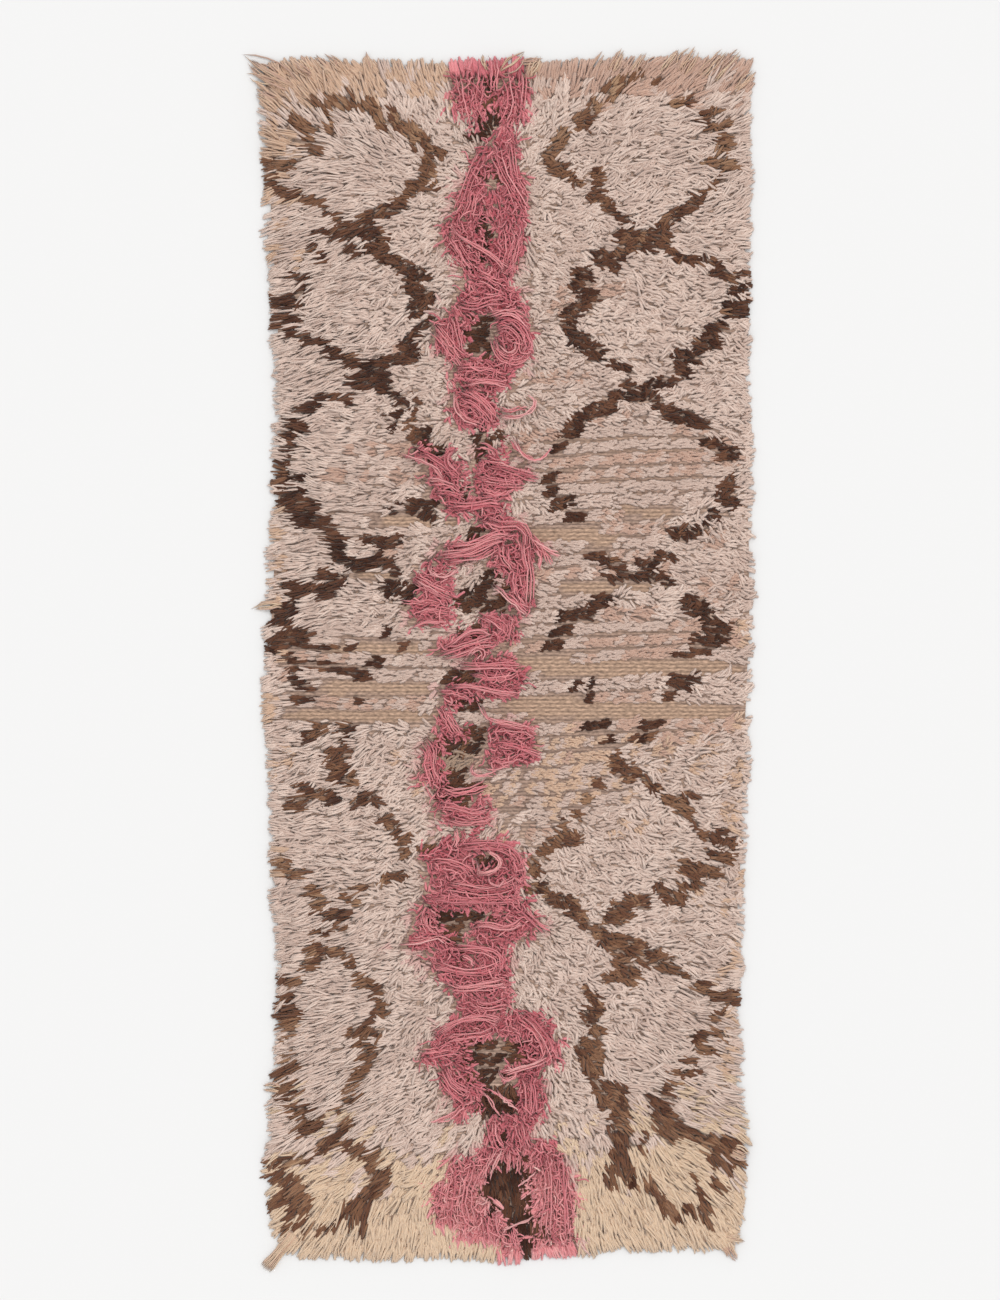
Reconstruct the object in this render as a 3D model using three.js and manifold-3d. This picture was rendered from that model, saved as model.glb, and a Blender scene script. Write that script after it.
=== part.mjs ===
// A hand-knotted runner rug with shaggy pile, lying flat on the floor.
// The woven cloth and its knotted pile are one piece, modelled as one lumpy slab whose ribs are the
// rows of knots and whose rim carries the locks of yarn that spill past the cloth's edges.
// A bundle of knotted warp ends at one corner is a tassel of its own.
// Millimetres, +Z up, +Y towards the end woven last, the origin under the middle of the bounding box.
import * as THREE from 'three';
import { mergeVertices } from 'three/addons/utils/BufferGeometryUtils.js';
import Module from 'manifold-3d';

const wasm = await Module();
wasm.setup();

const { clamp, lerp, smoothstep, seededRandom, degToRad } = THREE.MathUtils;

// Reach of the rug with its loose yarn
const REACH_X = 424;
const REACH_Y = 1000;

// Rows of knots, each one crest and one valley, and the points along a row
const ROW_PITCH = 23;
const ROWS = 84;
const COLUMNS = 14;

// How unevenly the rows lie: a slow wave across them, and a drift of each point in the plane
const WAVE = { height: 2.2, length: 565, rowsPerTurn: 57 };
const DRIFT_ALONG = 30;
const DRIFT_ACROSS = 0.3 * ROW_PITCH;

// Heights above the floor. The chain's extra height fades out over shares of its half width.
const CLOTH = 4;
const BARE_BAND = 5.5;
const RIM = 7;
const FULL_PILE = 17;
const WORN_PILE = 9;
const CHAIN_EXTRA = 10;
const CHAIN_EDGE = { inner: 0.55, outer: 1.05 };

// Shares of a crest's height: its valleys, every other tuft's swell, and chance
const VALLEY_SHARE = 0.45;
const TUFT_SWELL = 0.2;
const UNEVEN = 0.3;

// Where the pile is worn low: the middle of the length, fading out towards both ends
const WORN_MIDDLE = 70;
const WORN_HALF = 150;
const FULL_FROM = 480;

// Pile falls away towards the rim over this distance
const RIM_FALL = 46;

// The cloth's sides, from the last row woven down to the first
const SIDES = [
  { y: 968, left: -388, right: 403 },
  { y: 850, left: -385, right: 404 },
  { y: 720, left: -378, right: 406 },
  { y: 590, left: -370, right: 403 },
  { y: 460, left: -364, right: 403 },
  { y: 330, left: -363, right: 406 },
  { y: 200, left: -371, right: 411 },
  { y: 70, left: -378, right: 412 },
  { y: -60, left: -381, right: 407 },
  { y: -190, left: -375, right: 401 },
  { y: -320, left: -371, right: 398 },
  { y: -450, left: -363, right: 390 },
  { y: -580, left: -360, right: 387 },
  { y: -700, left: -365, right: 386 },
  { y: -790, left: -379, right: 401 },
  { y: -870, left: -376, right: 391 },
  { y: -962, left: -357, right: 382 },
];

// The cloth's two ends, from left to right
const ENDS = [
  { x: -390, far: 968, near: -958 },
  { x: -300, far: 971, near: -966 },
  { x: -200, far: 969, near: -973 },
  { x: -100, far: 967, near: -971 },
  { x: 0, far: 974, near: -978 },
  { x: 100, far: 969, near: -966 },
  { x: 200, far: 976, near: -957 },
  { x: 300, far: 979, near: -954 },
  { x: 410, far: 973, near: -956 },
];

// The chain of long-haired lozenges down the middle: its centre and half width
const CHAIN = [
  { y: 980, x: -12, half: 66 },
  { y: 880, x: -18, half: 40 },
  { y: 780, x: -15, half: 60 },
  { y: 640, x: -20, half: 52 },
  { y: 520, x: -25, half: 72 },
  { y: 400, x: -20, half: 50 },
  { y: 290, x: -40, half: 90 },
  { y: 120, x: -30, half: 105 },
  { y: 0, x: -30, half: 60 },
  { y: -120, x: -40, half: 85 },
  { y: -260, x: -58, half: 50 },
  { y: -330, x: -48, half: 80 },
  { y: -470, x: -50, half: 68 },
  { y: -560, x: -22, half: 40 },
  { y: -640, x: -25, half: 86 },
  { y: -760, x: -2, half: 45 },
  { y: -880, x: 10, half: 105 },
  { y: -980, x: 12, half: 60 },
];

// Bands woven without knots, where the bare cloth shows
const BANDS = [
  { y: 209, half: 11, from: 40, to: 230 },
  { y: 108, half: 9, from: 60, to: 330 },
  { y: -7, half: 13, from: -20, to: 380 },
  { y: -77, half: 12, from: -330, to: 400 },
  { y: 232, half: 9, from: -250, to: -110 },
  { y: 146, half: 9, from: -250, to: -150 },
];

// Locks along the rim: how far they reach past the cloth, and how far more the longest do, by side
const LOCK_SIZES = {
  left: { reach: 13, more: 15, width: 20, height: 6.2, lean: 0.22 },
  right: { reach: 9, more: 11, width: 20, height: 6, lean: 0.2 },
  far: { reach: 9, more: 16, width: 21, height: 6.6, lean: 0.45 },
  near: { reach: 8, more: 10, width: 21, height: 6.2, lean: 0.35 },
};
const LOCK_ROOT = 9;
const LOCK_STEPS = 1;
const LOCK_TIP = 0.36;
const LOCK_TAPER = 1.4;
const LOCK_BOW = 0.12;

// Where the locks stand: from row to row along the sides, and from corner to corner at the ends
const SIDE_SPAN = { from: -952, to: 958 };
const END_SPAN = { from: -345, to: 375 };

// Long loose locks, placed one by one: the root, the tip and the width
const LONG_LOCK = { height: 6.4, steps: 2, bow: 0.08 };
const LONG_LOCKS = [
  { fromX: -372, fromY: 952, toX: -REACH_X, toY: 988, width: 12 },
  { fromX: -380, fromY: 948, toX: -419, toY: 956, width: 9 },
  { fromX: -366, fromY: 88, toX: -414, toY: 76, width: 13 },
  { fromX: -348, fromY: -702, toX: -392, toY: -699, width: 12 },
  { fromX: 382, fromY: -800, toX: 411, toY: -818, width: 18 },
  { fromX: 396, fromY: 942, toX: REACH_X, toY: 948, width: 9 },
  { fromX: 366, fromY: -944, toX: 402, toY: -934, width: 9 },
  { fromX: 364, fromY: -950, toX: 390, toY: -982, width: 9 },
  { fromX: 312, fromY: 960, toX: 318, toY: REACH_Y, width: 11 },
  { fromX: 20, fromY: 962, toX: 26, toY: 998, width: 11 },
];

// The corner tassel: a wrapped head, drawn in at both ends, and the warp ends that leave it
const TASSEL_AT = { x: -350, y: -949 };
const TASSEL_HEADING = degToRad(-128);
const TASSEL_HEAD = { length: 20, width: 15, height: 11, neck: 0.62, sides: 10, rings: 4 };
const TASSEL_STRANDS = 7;
const TASSEL_SPREAD = degToRad(26);
const TASSEL_ROOM = 25;
const STRAND = { length: 44, shortest: 0.82, root: 5, width: 4.2, height: 4.6, tip: 0.5, bow: 0.1 };
const STRAND_STEPS = 2;
const CLEARANCE = 0.3;

// A point of the head's round section whose sine is under this is set down on the floor
const FLAT_BELOW = -0.75;

const WOOL = { color: 0xcdbcaa, roughness: 0.95, metalness: 0 };
const WARP = { color: 0xc9a983, roughness: 0.9, metalness: 0 };

// A number from 0 to 1 that always comes out the same for one pair of whole numbers.
const chance = (i, j) => seededRandom(7919 * (i + 3) + 104729 * (j + 5));

// The value of one column of a table, on the line between its two nearest rows.
function between(table, along, column, at) {
  const rising = table[0][along] < table[table.length - 1][along];
  const rows = rising ? table : [...table].reverse();
  if (at <= rows[0][along]) return rows[0][column];
  for (let k = 1; k < rows.length; k++) {
    const [low, high] = [rows[k - 1], rows[k]];
    if (at > high[along]) continue;
    const share = (at - low[along]) / (high[along] - low[along]);
    return lerp(low[column], high[column], share);
  }
  return rows[rows.length - 1][column];
}

// The height of the pile's crest over a point of the cloth.
function crestHeight(x, y) {
  const band = BANDS.find((b) => Math.abs(y - b.y) < b.half && x > b.from && x < b.to);
  if (band) return BARE_BAND;
  const full = smoothstep(Math.abs(y - WORN_MIDDLE), WORN_HALF, FULL_FROM);
  const offChain = Math.abs(x - between(CHAIN, 'y', 'x', y)) / between(CHAIN, 'y', 'half', y);
  const chain = 1 - smoothstep(offChain, CHAIN_EDGE.inner, CHAIN_EDGE.outer);
  return lerp(WORN_PILE, FULL_PILE, full) + CHAIN_EXTRA * chain;
}

// Where a point of the unit sheet lies on the cloth. u runs across it from the left side, v along
// it from the near end. Points inside the rim drift a little from their row.
function onCloth(u, v, row, column) {
  const flatX = lerp(ENDS[0].x, ENDS[ENDS.length - 1].x, u);
  const y = lerp(between(ENDS, 'x', 'near', flatX), between(ENDS, 'x', 'far', flatX), v);
  const x = lerp(between(SIDES, 'y', 'left', y), between(SIDES, 'y', 'right', y), u);
  const turns = x / WAVE.length + row / WAVE.rowsPerTurn;
  const wave = Math.sin(2 * Math.PI * turns) * WAVE.height;
  const inside = column > 0 && column < COLUMNS && row > 0 && row < 2 * ROWS;
  if (!inside) return { x, y };
  const driftX = (chance(row, column) - 0.5) * DRIFT_ALONG;
  const driftY = (chance(row, column + 80) - 0.5) * DRIFT_ACROSS;
  return { x: x + driftX, y: y + wave + driftY };
}

// The cloth with its pile: a ribbed, lumpy top over a flat underside that lies on the floor.
function pileSlab() {
  const sheet = new THREE.PlaneGeometry(1, 1, COLUMNS, 2 * ROWS);
  const points = sheet.getAttribute('position');
  for (let i = 0; i < points.count; i++) {
    const column = i % (COLUMNS + 1);
    const row = 2 * ROWS - Math.floor(i / (COLUMNS + 1));
    const { x, y } = onCloth(points.getX(i) + 0.5, points.getY(i) + 0.5, row, column);
    const toSide = Math.min(x - between(SIDES, 'y', 'left', y), between(SIDES, 'y', 'right', y) - x);
    const toEnd = Math.min(y - between(ENDS, 'x', 'near', x), between(ENDS, 'x', 'far', x) - y);
    const tuft = (column + (row >> 1)) % 2 ? TUFT_SWELL : -TUFT_SWELL;
    const crest = crestHeight(x, y) * (1 + tuft + UNEVEN * (chance(row, column + 40) - 0.5));
    const ribbed = row % 2 ? crest : Math.max(CLOTH, crest * VALLEY_SHARE);
    const fall = clamp(Math.min(toSide, toEnd) / RIM_FALL, 0, 1);
    points.setXYZ(i, x, y, lerp(RIM, ribbed, Math.sqrt(fall)));
  }
  return closedOver(sheet, COLUMNS, 2 * ROWS);
}

// Closes a displaced sheet down to the floor with a wall round its rim and a flat base.
function closedOver(sheet, columns, rows) {
  const across = columns + 1;
  const rim = [];
  for (let c = 0; c < columns; c++) rim.push(rows * across + c);
  for (let r = rows; r > 0; r--) rim.push(r * across + columns);
  for (let c = columns; c > 0; c--) rim.push(c);
  for (let r = 0; r < rows; r++) rim.push(r * across);

  const points = sheet.getAttribute('position');
  const flat = rim.map((i) => new THREE.Vector2(points.getX(i), points.getY(i)));
  const positions = [...points.array, ...flat.flatMap((p) => [p.x, p.y, 0])];
  const faces = [...sheet.index.array];
  rim.forEach((top, k) => {
    const next = (k + 1) % rim.length;
    const [low, lowNext] = [points.count + k, points.count + next];
    faces.push(low, lowNext, rim[next], low, rim[next], top);
  });
  for (const [a, b, c] of THREE.ShapeUtils.triangulateShape(flat, [])) {
    faces.push(points.count + a, points.count + c, points.count + b);
  }
  return new THREE.BufferGeometry()
    .setAttribute('position', new THREE.Float32BufferAttribute(positions, 3))
    .setIndex(faces);
}

// Skins a row of rings, each with the same number of points, and closes both ends.
function lofted(rings) {
  const sides = rings[0].length;
  const positions = rings.flat().flatMap((p) => [p.x, p.y, p.z]);
  const faces = [];
  for (let r = 0; r + 1 < rings.length; r++) {
    for (let s = 0; s < sides; s++) {
      const [a, b] = [r * sides + s, r * sides + ((s + 1) % sides)];
      faces.push(a, b + sides, b, a, a + sides, b + sides);
    }
  }
  const last = (rings.length - 1) * sides;
  for (let s = 1; s + 1 < sides; s++) {
    faces.push(0, s, s + 1);
    faces.push(last, last + s + 1, last + s);
  }
  return new THREE.BufferGeometry()
    .setAttribute('position', new THREE.Float32BufferAttribute(positions, 3))
    .setIndex(faces);
}

// A three-sided lock of yarn that lies on the floor along a path and tapers to its tip.
function lock(path, width, height, steps = LOCK_STEPS, tip = LOCK_TIP) {
  const rings = [];
  for (let k = 0; k <= steps; k++) {
    const t = k / steps;
    const centre = path.getPoint(t);
    const along = path.getTangent(t);
    const thin = lerp(1, tip, t ** LOCK_TAPER);
    const half = (width / 2) * thin;
    rings.push([
      new THREE.Vector3(centre.x + along.y * half, centre.y - along.x * half, 0),
      new THREE.Vector3(centre.x, centre.y, height * thin),
      new THREE.Vector3(centre.x - along.y * half, centre.y + along.x * half, 0),
    ]);
  }
  return lofted(rings);
}

// A lock's path in plan: out of the rim, then swept a little to one side.
function sweep(fromX, fromY, toX, toY, bow) {
  const from = new THREE.Vector2(fromX, fromY);
  const to = new THREE.Vector2(clamp(toX, -REACH_X, REACH_X), clamp(toY, -REACH_Y, REACH_Y));
  const middle = from.clone().lerp(to, 0.5);
  const aside = new THREE.Vector2(from.y - to.y, to.x - from.x).multiplyScalar(bow);
  return new THREE.QuadraticBezierCurve(from, middle.add(aside), to);
}

// One lock of the rim at a point of the cloth's edge. out is the way out of the cloth.
function rimLock(side, index, x, y, out) {
  const size = LOCK_SIZES[side];
  const seed = { left: 200, right: 400, far: 600, near: 800 }[side];
  const reach = size.reach + size.more * chance(index, seed) ** 2;
  const lean = size.lean * (chance(index, seed + 1) - 0.5) * 2;
  const toX = x + out.x * reach + out.y * reach * lean;
  const toY = y + out.y * reach - out.x * reach * lean;
  const path = sweep(x - out.x * LOCK_ROOT, y - out.y * LOCK_ROOT, toX, toY, LOCK_BOW * lean);
  return lock(path, size.width * lerp(0.8, 1.1, chance(index, seed + 2)), size.height);
}

function rimLocks() {
  const locks = [];
  for (let row = 0; row < ROWS; row++) {
    const y = lerp(SIDE_SPAN.from, SIDE_SPAN.to, (row + 0.5) / ROWS);
    locks.push(rimLock('left', row, between(SIDES, 'y', 'left', y), y, { x: -1, y: 0 }));
    locks.push(rimLock('right', row, between(SIDES, 'y', 'right', y), y, { x: 1, y: 0 }));
  }
  const acrossEnd = Math.round((END_SPAN.to - END_SPAN.from) / ROW_PITCH);
  for (let k = 0; k <= acrossEnd; k++) {
    const x = lerp(END_SPAN.from, END_SPAN.to, k / acrossEnd);
    locks.push(rimLock('far', k, x, between(ENDS, 'x', 'far', x), { x: 0, y: 1 }));
    if (x > TASSEL_AT.x + TASSEL_ROOM) {
      locks.push(rimLock('near', k, x, between(ENDS, 'x', 'near', x), { x: 0, y: -1 }));
    }
  }
  for (const l of LONG_LOCKS) {
    const path = sweep(l.fromX, l.fromY, l.toX, l.toY, LONG_LOCK.bow);
    locks.push(lock(path, l.width, LONG_LOCK.height, LONG_LOCK.steps));
  }
  return locks;
}

// The tassel's wrapped head, as rings round its axis, flattened where it lies on the floor.
function tasselHead(grow = 0) {
  const { length, width, height, neck, sides, rings } = TASSEL_HEAD;
  const along = new THREE.Vector2(Math.cos(TASSEL_HEADING), Math.sin(TASSEL_HEADING));
  const made = [];
  for (let k = 0; k <= rings; k++) {
    const t = k / rings;
    const swell = lerp(neck, 1, Math.sin(Math.PI * t));
    const reach = lerp(-grow, length + grow, t);
    const centre = { x: TASSEL_AT.x + along.x * reach, y: TASSEL_AT.y + along.y * reach };
    made.push(
      Array.from({ length: sides }, (_, s) => {
        const turn = (-2 * Math.PI * (s + 0.5)) / sides;
        const side = Math.cos(turn) * (width / 2 + grow) * swell;
        const up = ((Math.sin(turn) + 1) / 2) * (height + grow) * swell;
        const z = Math.sin(turn) < FLAT_BELOW ? -grow : up;
        return new THREE.Vector3(centre.x - along.y * side, centre.y + along.x * side, z);
      }),
    );
  }
  return lofted(made);
}

function tasselStrands() {
  const headEnd = TASSEL_HEAD.length - STRAND.root;
  return Array.from({ length: TASSEL_STRANDS }, (_, k) => {
    const fan = k / (TASSEL_STRANDS - 1) - 0.5;
    const along = new THREE.Vector2(Math.cos(TASSEL_HEADING), Math.sin(TASSEL_HEADING));
    const side = new THREE.Vector2(-along.y, along.x);
    const from = new THREE.Vector2(TASSEL_AT.x, TASSEL_AT.y)
      .addScaledVector(along, headEnd)
      .addScaledVector(side, fan * (TASSEL_HEAD.width - STRAND.width));
    const heading = TASSEL_HEADING + fan * TASSEL_SPREAD;
    const far = STRAND.length * lerp(STRAND.shortest, 1, chance(k, 1000));
    const toX = from.x + Math.cos(heading) * far;
    const toY = from.y + Math.sin(heading) * far;
    const path = sweep(from.x, from.y, toX, toY, STRAND.bow * fan);
    return lock(path, STRAND.width, STRAND.height, STRAND_STEPS, STRAND.tip);
  });
}

// A closed geometry as a solid, for joining and cutting.
function solid(geometry) {
  const bare = new THREE.BufferGeometry()
    .setAttribute('position', geometry.getAttribute('position'))
    .setIndex(geometry.index);
  const merged = mergeVertices(bare, 1e-4);
  return new wasm.Manifold(
    new wasm.Mesh({
      numProp: 3,
      vertProperties: new Float32Array(merged.attributes.position.array),
      triVerts: new Uint32Array(merged.index.array),
    }),
  );
}

function joined(geometries) {
  return geometries.map(solid).reduce((whole, piece) => whole.add(piece));
}

function named(name, shape, look) {
  const mesh = shape.getMesh();
  const geometry = new THREE.BufferGeometry()
    .setAttribute('position', new THREE.BufferAttribute(mesh.vertProperties, 3))
    .setIndex(new THREE.BufferAttribute(mesh.triVerts, 1));
  geometry.computeVertexNormals();
  const made = new THREE.Mesh(geometry, new THREE.MeshStandardMaterial(look));
  made.name = name;
  return made;
}

const rug = joined([pileSlab(), ...rimLocks()]).subtract(solid(tasselHead(CLEARANCE)));
const tassel = joined([tasselHead(), ...tasselStrands()]);

const runner = new THREE.Group();
runner.add(named('pile_rug', rug, WOOL));
runner.add(named('corner_tassel', tassel, WARP));

// The yarn's reach differs a little from side to side, so the whole is centred over the origin.
const centre = new THREE.Box3().setFromObject(runner).getCenter(new THREE.Vector3());
runner.position.set(-centre.x, -centre.y, 0);

export default runner;
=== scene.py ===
# %% [markdown]
# # A hand-knotted shag runner
#
# The runner is one narrow cloth, woven on a home loom. Between every few shots of weft the weaver
# ties a row of wool knots, and the ends of those knots are the pile. So the rug is built here in
# the same order: first a thin ribbed ground cloth, then the knots, row by row, each opened into a
# dozen yarns, and last the loose yarns and the bunch of warp ends at the rim.
#
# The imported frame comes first. It tells how far the rug reaches, and the visual pieces keep to it.

# %% Load the frame
import math

import bpy
import numpy as np
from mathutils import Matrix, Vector


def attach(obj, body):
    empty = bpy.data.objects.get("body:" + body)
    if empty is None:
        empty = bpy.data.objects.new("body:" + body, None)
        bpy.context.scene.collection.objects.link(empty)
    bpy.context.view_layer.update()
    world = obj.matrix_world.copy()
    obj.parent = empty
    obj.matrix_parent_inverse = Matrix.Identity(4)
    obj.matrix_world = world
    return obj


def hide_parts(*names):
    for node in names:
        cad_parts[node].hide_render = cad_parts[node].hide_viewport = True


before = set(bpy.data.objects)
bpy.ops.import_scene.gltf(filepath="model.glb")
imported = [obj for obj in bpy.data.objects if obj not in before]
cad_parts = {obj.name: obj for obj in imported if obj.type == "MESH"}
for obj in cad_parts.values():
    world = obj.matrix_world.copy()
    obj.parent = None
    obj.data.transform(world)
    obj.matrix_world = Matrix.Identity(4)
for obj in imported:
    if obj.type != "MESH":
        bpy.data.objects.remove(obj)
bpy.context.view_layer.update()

MM = 0.001
print("frame:", sorted(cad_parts))

# %% [markdown]
# ## The cloth's outline
#
# No loom for home use keeps its sides straight. The weaver pulls some shots of weft tighter than
# others, so the cloth draws in and lets out again by a centimetre or two. A short table of widths
# read off along the length holds that better than a straight edge and noise, because the eye
# knows the outline of the real rug. Everything that follows is placed by these two tables.

# %% The outline, in millimetres
ROW_PITCH = 23.0
SIDES = np.array([  # y, left edge, right edge
    (-962, -357, 382),
    (-870, -376, 391),
    (-790, -379, 401),
    (-700, -365, 386),
    (-580, -360, 387),
    (-450, -363, 390),
    (-320, -371, 398),
    (-190, -375, 401),
    (-60, -381, 407),
    (70, -378, 412),
    (200, -371, 411),
    (330, -363, 406),
    (460, -364, 403),
    (590, -370, 403),
    (720, -378, 406),
    (850, -385, 404),
    (968, -388, 403),
])
ENDS = np.array([  # x, far end, near end
    (-390, 968, -958),
    (-300, 971, -966),
    (-200, 969, -973),
    (-100, 967, -971),
    (0, 974, -978),
    (100, 969, -966),
    (200, 976, -957),
    (300, 979, -954),
    (410, 973, -956),
])


def along(table, at, column):
    """A column of a table at any place between its rows."""
    return np.interp(at, table[:, 0], table[:, column])


def soft_step(value, low, high):
    """0 below low, 1 above high, and a smooth rise between them."""
    t = np.clip((value - low) / (high - low), 0, 1)
    return t * t * (3 - 2 * t)


print("cloth is about", round(float(np.mean(SIDES[:, 2] - SIDES[:, 1]))), "mm wide")

# %% [markdown]
# ## The weaver's chart
#
# The design is the old one of this mountain wool: open lozenges in undyed brown, stacked in two
# columns, with a chain of long pink tufts between them. A weaver keeps it in mind and counts knots
# along the row, so every lozenge comes out different. It is charted here the same way, as the
# lines that each lozenge follows. A brown line is read where each yarn shows, and the rest of
# the chart at each knot, so the steps along a slanting line come by themselves.

# %% Brown lines of the left column, in millimetres
LEFT_COLUMN = [  # width of the line, then its corners, from the far end down
    # the first lozenge
    (22, [(-295, 905), (-262, 910), (-232, 906), (-212, 910), (-200, 888), (-194, 872)]),
    (20, [(-284, 892), (-276, 868)]), (24, [(-344, 880), (-320, 872), (-318, 850), (-306, 832)]),
    (18, [(-378, 806), (-340, 806)]),
    (17, [(-378, 786), (-368, 768), (-335, 752), (-300, 746), (-275, 722), (-262, 704)]),
    (22, [(-174, 888), (-160, 864), (-138, 858), (-118, 842)]), (14, [(-140, 850), (-140, 832)]),
    (14, [(-116, 828), (-92, 824)]), (26, [(-116, 812), (-114, 795), (-128, 774), (-150, 758)]),
    (14, [(-116, 768), (-100, 770)]), (22, [(-158, 742), (-176, 732), (-200, 732), (-212, 720)]),
    (30, [(-214, 716), (-232, 702), (-258, 694)]), (12, [(-268, 698), (-306, 694)]),
    # the second
    (26, [(-216, 700), (-196, 690), (-186, 672)]), (18, [(-244, 676), (-234, 658)]),
    (24, [(-210, 668), (-184, 656), (-156, 645), (-142, 628)]), (14, [(-136, 622), (-112, 624)]),
    (20, [(-308, 670), (-292, 658)]), (18, [(-345, 628), (-322, 620), (-322, 602)]),
    (20, [(-370, 580), (-332, 584)]), (16, [(-368, 560), (-332, 558)]),
    (18, [(-362, 542), (-342, 536), (-318, 522), (-290, 516)]),
    (20, [(-286, 508), (-266, 496), (-238, 484), (-222, 474)]),
    (26, [(-222, 472), (-212, 458), (-238, 449)]),
    (24, [(-205, 486), (-188, 472), (-182, 454), (-192, 446)]), (16, [(-200, 486), (-176, 490)]),
    (30, [(-140, 618), (-138, 602), (-120, 590), (-134, 572)]),
    (18, [(-114, 552), (-132, 540), (-144, 528)]), (28, [(-150, 512), (-138, 500), (-160, 492)]),
    # the third
    (20, [(-180, 440), (-162, 424), (-150, 414)]), (18, [(-290, 432), (-248, 424)]),
    (20, [(-296, 426), (-306, 410), (-318, 404)]), (16, [(-340, 386), (-326, 378)]),
    (20, [(-344, 366), (-348, 338)]), (24, [(-352, 318), (-354, 296), (-354, 276)]),
    (14, [(-335, 296), (-322, 298)]), (14, [(-335, 276), (-324, 274)]),
    (24, [(-350, 258), (-320, 252), (-304, 250)]), (28, [(-335, 236), (-306, 224), (-282, 218)]),
    (28, [(-276, 200), (-262, 190), (-262, 172)]), (22, [(-250, 156), (-176, 158)]),
    (20, [(-190, 164), (-194, 186), (-166, 198)]), (12, [(-220, 196), (-190, 195)]),
    # what is left of the fourth, in the worn middle
    (20, [(-290, 142), (-258, 130), (-275, 114)]), (14, [(-345, 124), (-310, 120), (-280, 115)]),
    (14, [(-338, 106), (-312, 112), (-285, 103)]),
    (26, [(-340, 92), (-352, 80), (-368, 70), (-345, 62)]), (32, [(-365, 30), (-340, 38), (-322, 38)]),
    (12, [(-330, 24), (-290, 18), (-245, 21), (-215, 24)]),
    (20, [(-345, 5), (-330, -8), (-340, -26), (-320, -42), (-306, -55), (-340, -66)]),
    (9, [(-330, -9), (-285, -9), (-250, -16), (-225, -24)]),
    (20, [(-236, -22), (-214, -24), (-232, -34)]), (18, [(-234, -58), (-220, -66)]),
    (20, [(-295, -90), (-296, -112), (-318, -130)]),
    (20, [(-238, -92), (-242, -104), (-258, -116), (-258, -132)]),
    (20, [(-284, -153), (-270, -148), (-246, -150)]),
    (26, [(-274, -168), (-256, -172), (-266, -188), (-244, -192)]),
    # the fifth
    (22, [(-325, -212), (-296, -216), (-272, -224)]), (18, [(-350, -236), (-322, -240)]),
    (18, [(-366, -328), (-352, -332)]), (14, [(-358, -350), (-318, -347)]),
    (20, [(-312, -374), (-300, -388), (-288, -392)]), (18, [(-296, -408), (-286, -418)]),
    (16, [(-300, -440), (-284, -452)]), (20, [(-236, -232), (-220, -222), (-200, -234)]),
    (26, [(-178, -262), (-166, -278)]), (22, [(-160, -292), (-146, -288)]),
    (18, [(-158, -314), (-148, -312)]), (12, [(-130, -306), (-112, -306)]),
    (20, [(-186, -358), (-156, -352)]), (16, [(-232, -374), (-214, -374)]),
    (16, [(-250, -390), (-232, -396)]), (18, [(-270, -412), (-254, -416)]),
    (14, [(-272, -432), (-262, -436)]),
    # the sixth
    (21, [(-310, -470), (-285, -476), (-258, -476)]), (17, [(-300, -488), (-318, -498)]),
    (19, [(-252, -480), (-240, -498)]), (20, [(-232, -508), (-226, -524)]),
    (24, [(-212, -532), (-204, -548)]), (22, [(-198, -560), (-188, -572)]),
    (14, [(-356, -520), (-325, -524)]), (12, [(-362, -552), (-345, -550)]),
    (28, [(-350, -572), (-334, -578), (-350, -590)]), (14, [(-348, -600), (-346, -638)]),
    (20, [(-356, -658), (-340, -664), (-366, -676)]), (16, [(-378, -698), (-346, -694)]),
    (12, [(-350, -712), (-338, -706)]), (16, [(-345, -730), (-312, -736), (-328, -744)]),
    (26, [(-326, -768), (-300, -758)]), (16, [(-198, -560), (-206, -578), (-214, -586)]),
    (18, [(-246, -604), (-200, -606)]), (26, [(-226, -622), (-214, -636)]),
    (18, [(-232, -652), (-222, -664)]), (20, [(-238, -672), (-246, -686)]),
    (18, [(-250, -696), (-240, -712)]), (18, [(-258, -720), (-272, -736)]),
    (18, [(-252, -758), (-268, -772)]),
    # the seventh, at the near end
    (24, [(-300, -794), (-285, -785), (-262, -780), (-244, -796), (-224, -806)]),
    (20, [(-200, -796), (-206, -812)]), (28, [(-210, -822), (-204, -842), (-206, -862)]),
    (14, [(-184, -828), (-186, -858)]), (32, [(-214, -874), (-232, -892), (-246, -906)]),
    (24, [(-230, -905), (-226, -925)]), (12, [(-266, -916), (-276, -932)]),
    (16, [(-376, -820), (-350, -818), (-318, -812)]), (20, [(-372, -846), (-342, -850)]),
    (26, [(-360, -880), (-318, -872)]), (26, [(-345, -905), (-318, -898)]),
    (16, [(-350, -925), (-322, -928)]), (14, [(-318, -932), (-290, -932), (-282, -926)]),
]
print("left column:", len(LEFT_COLUMN), "lines")

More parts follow.
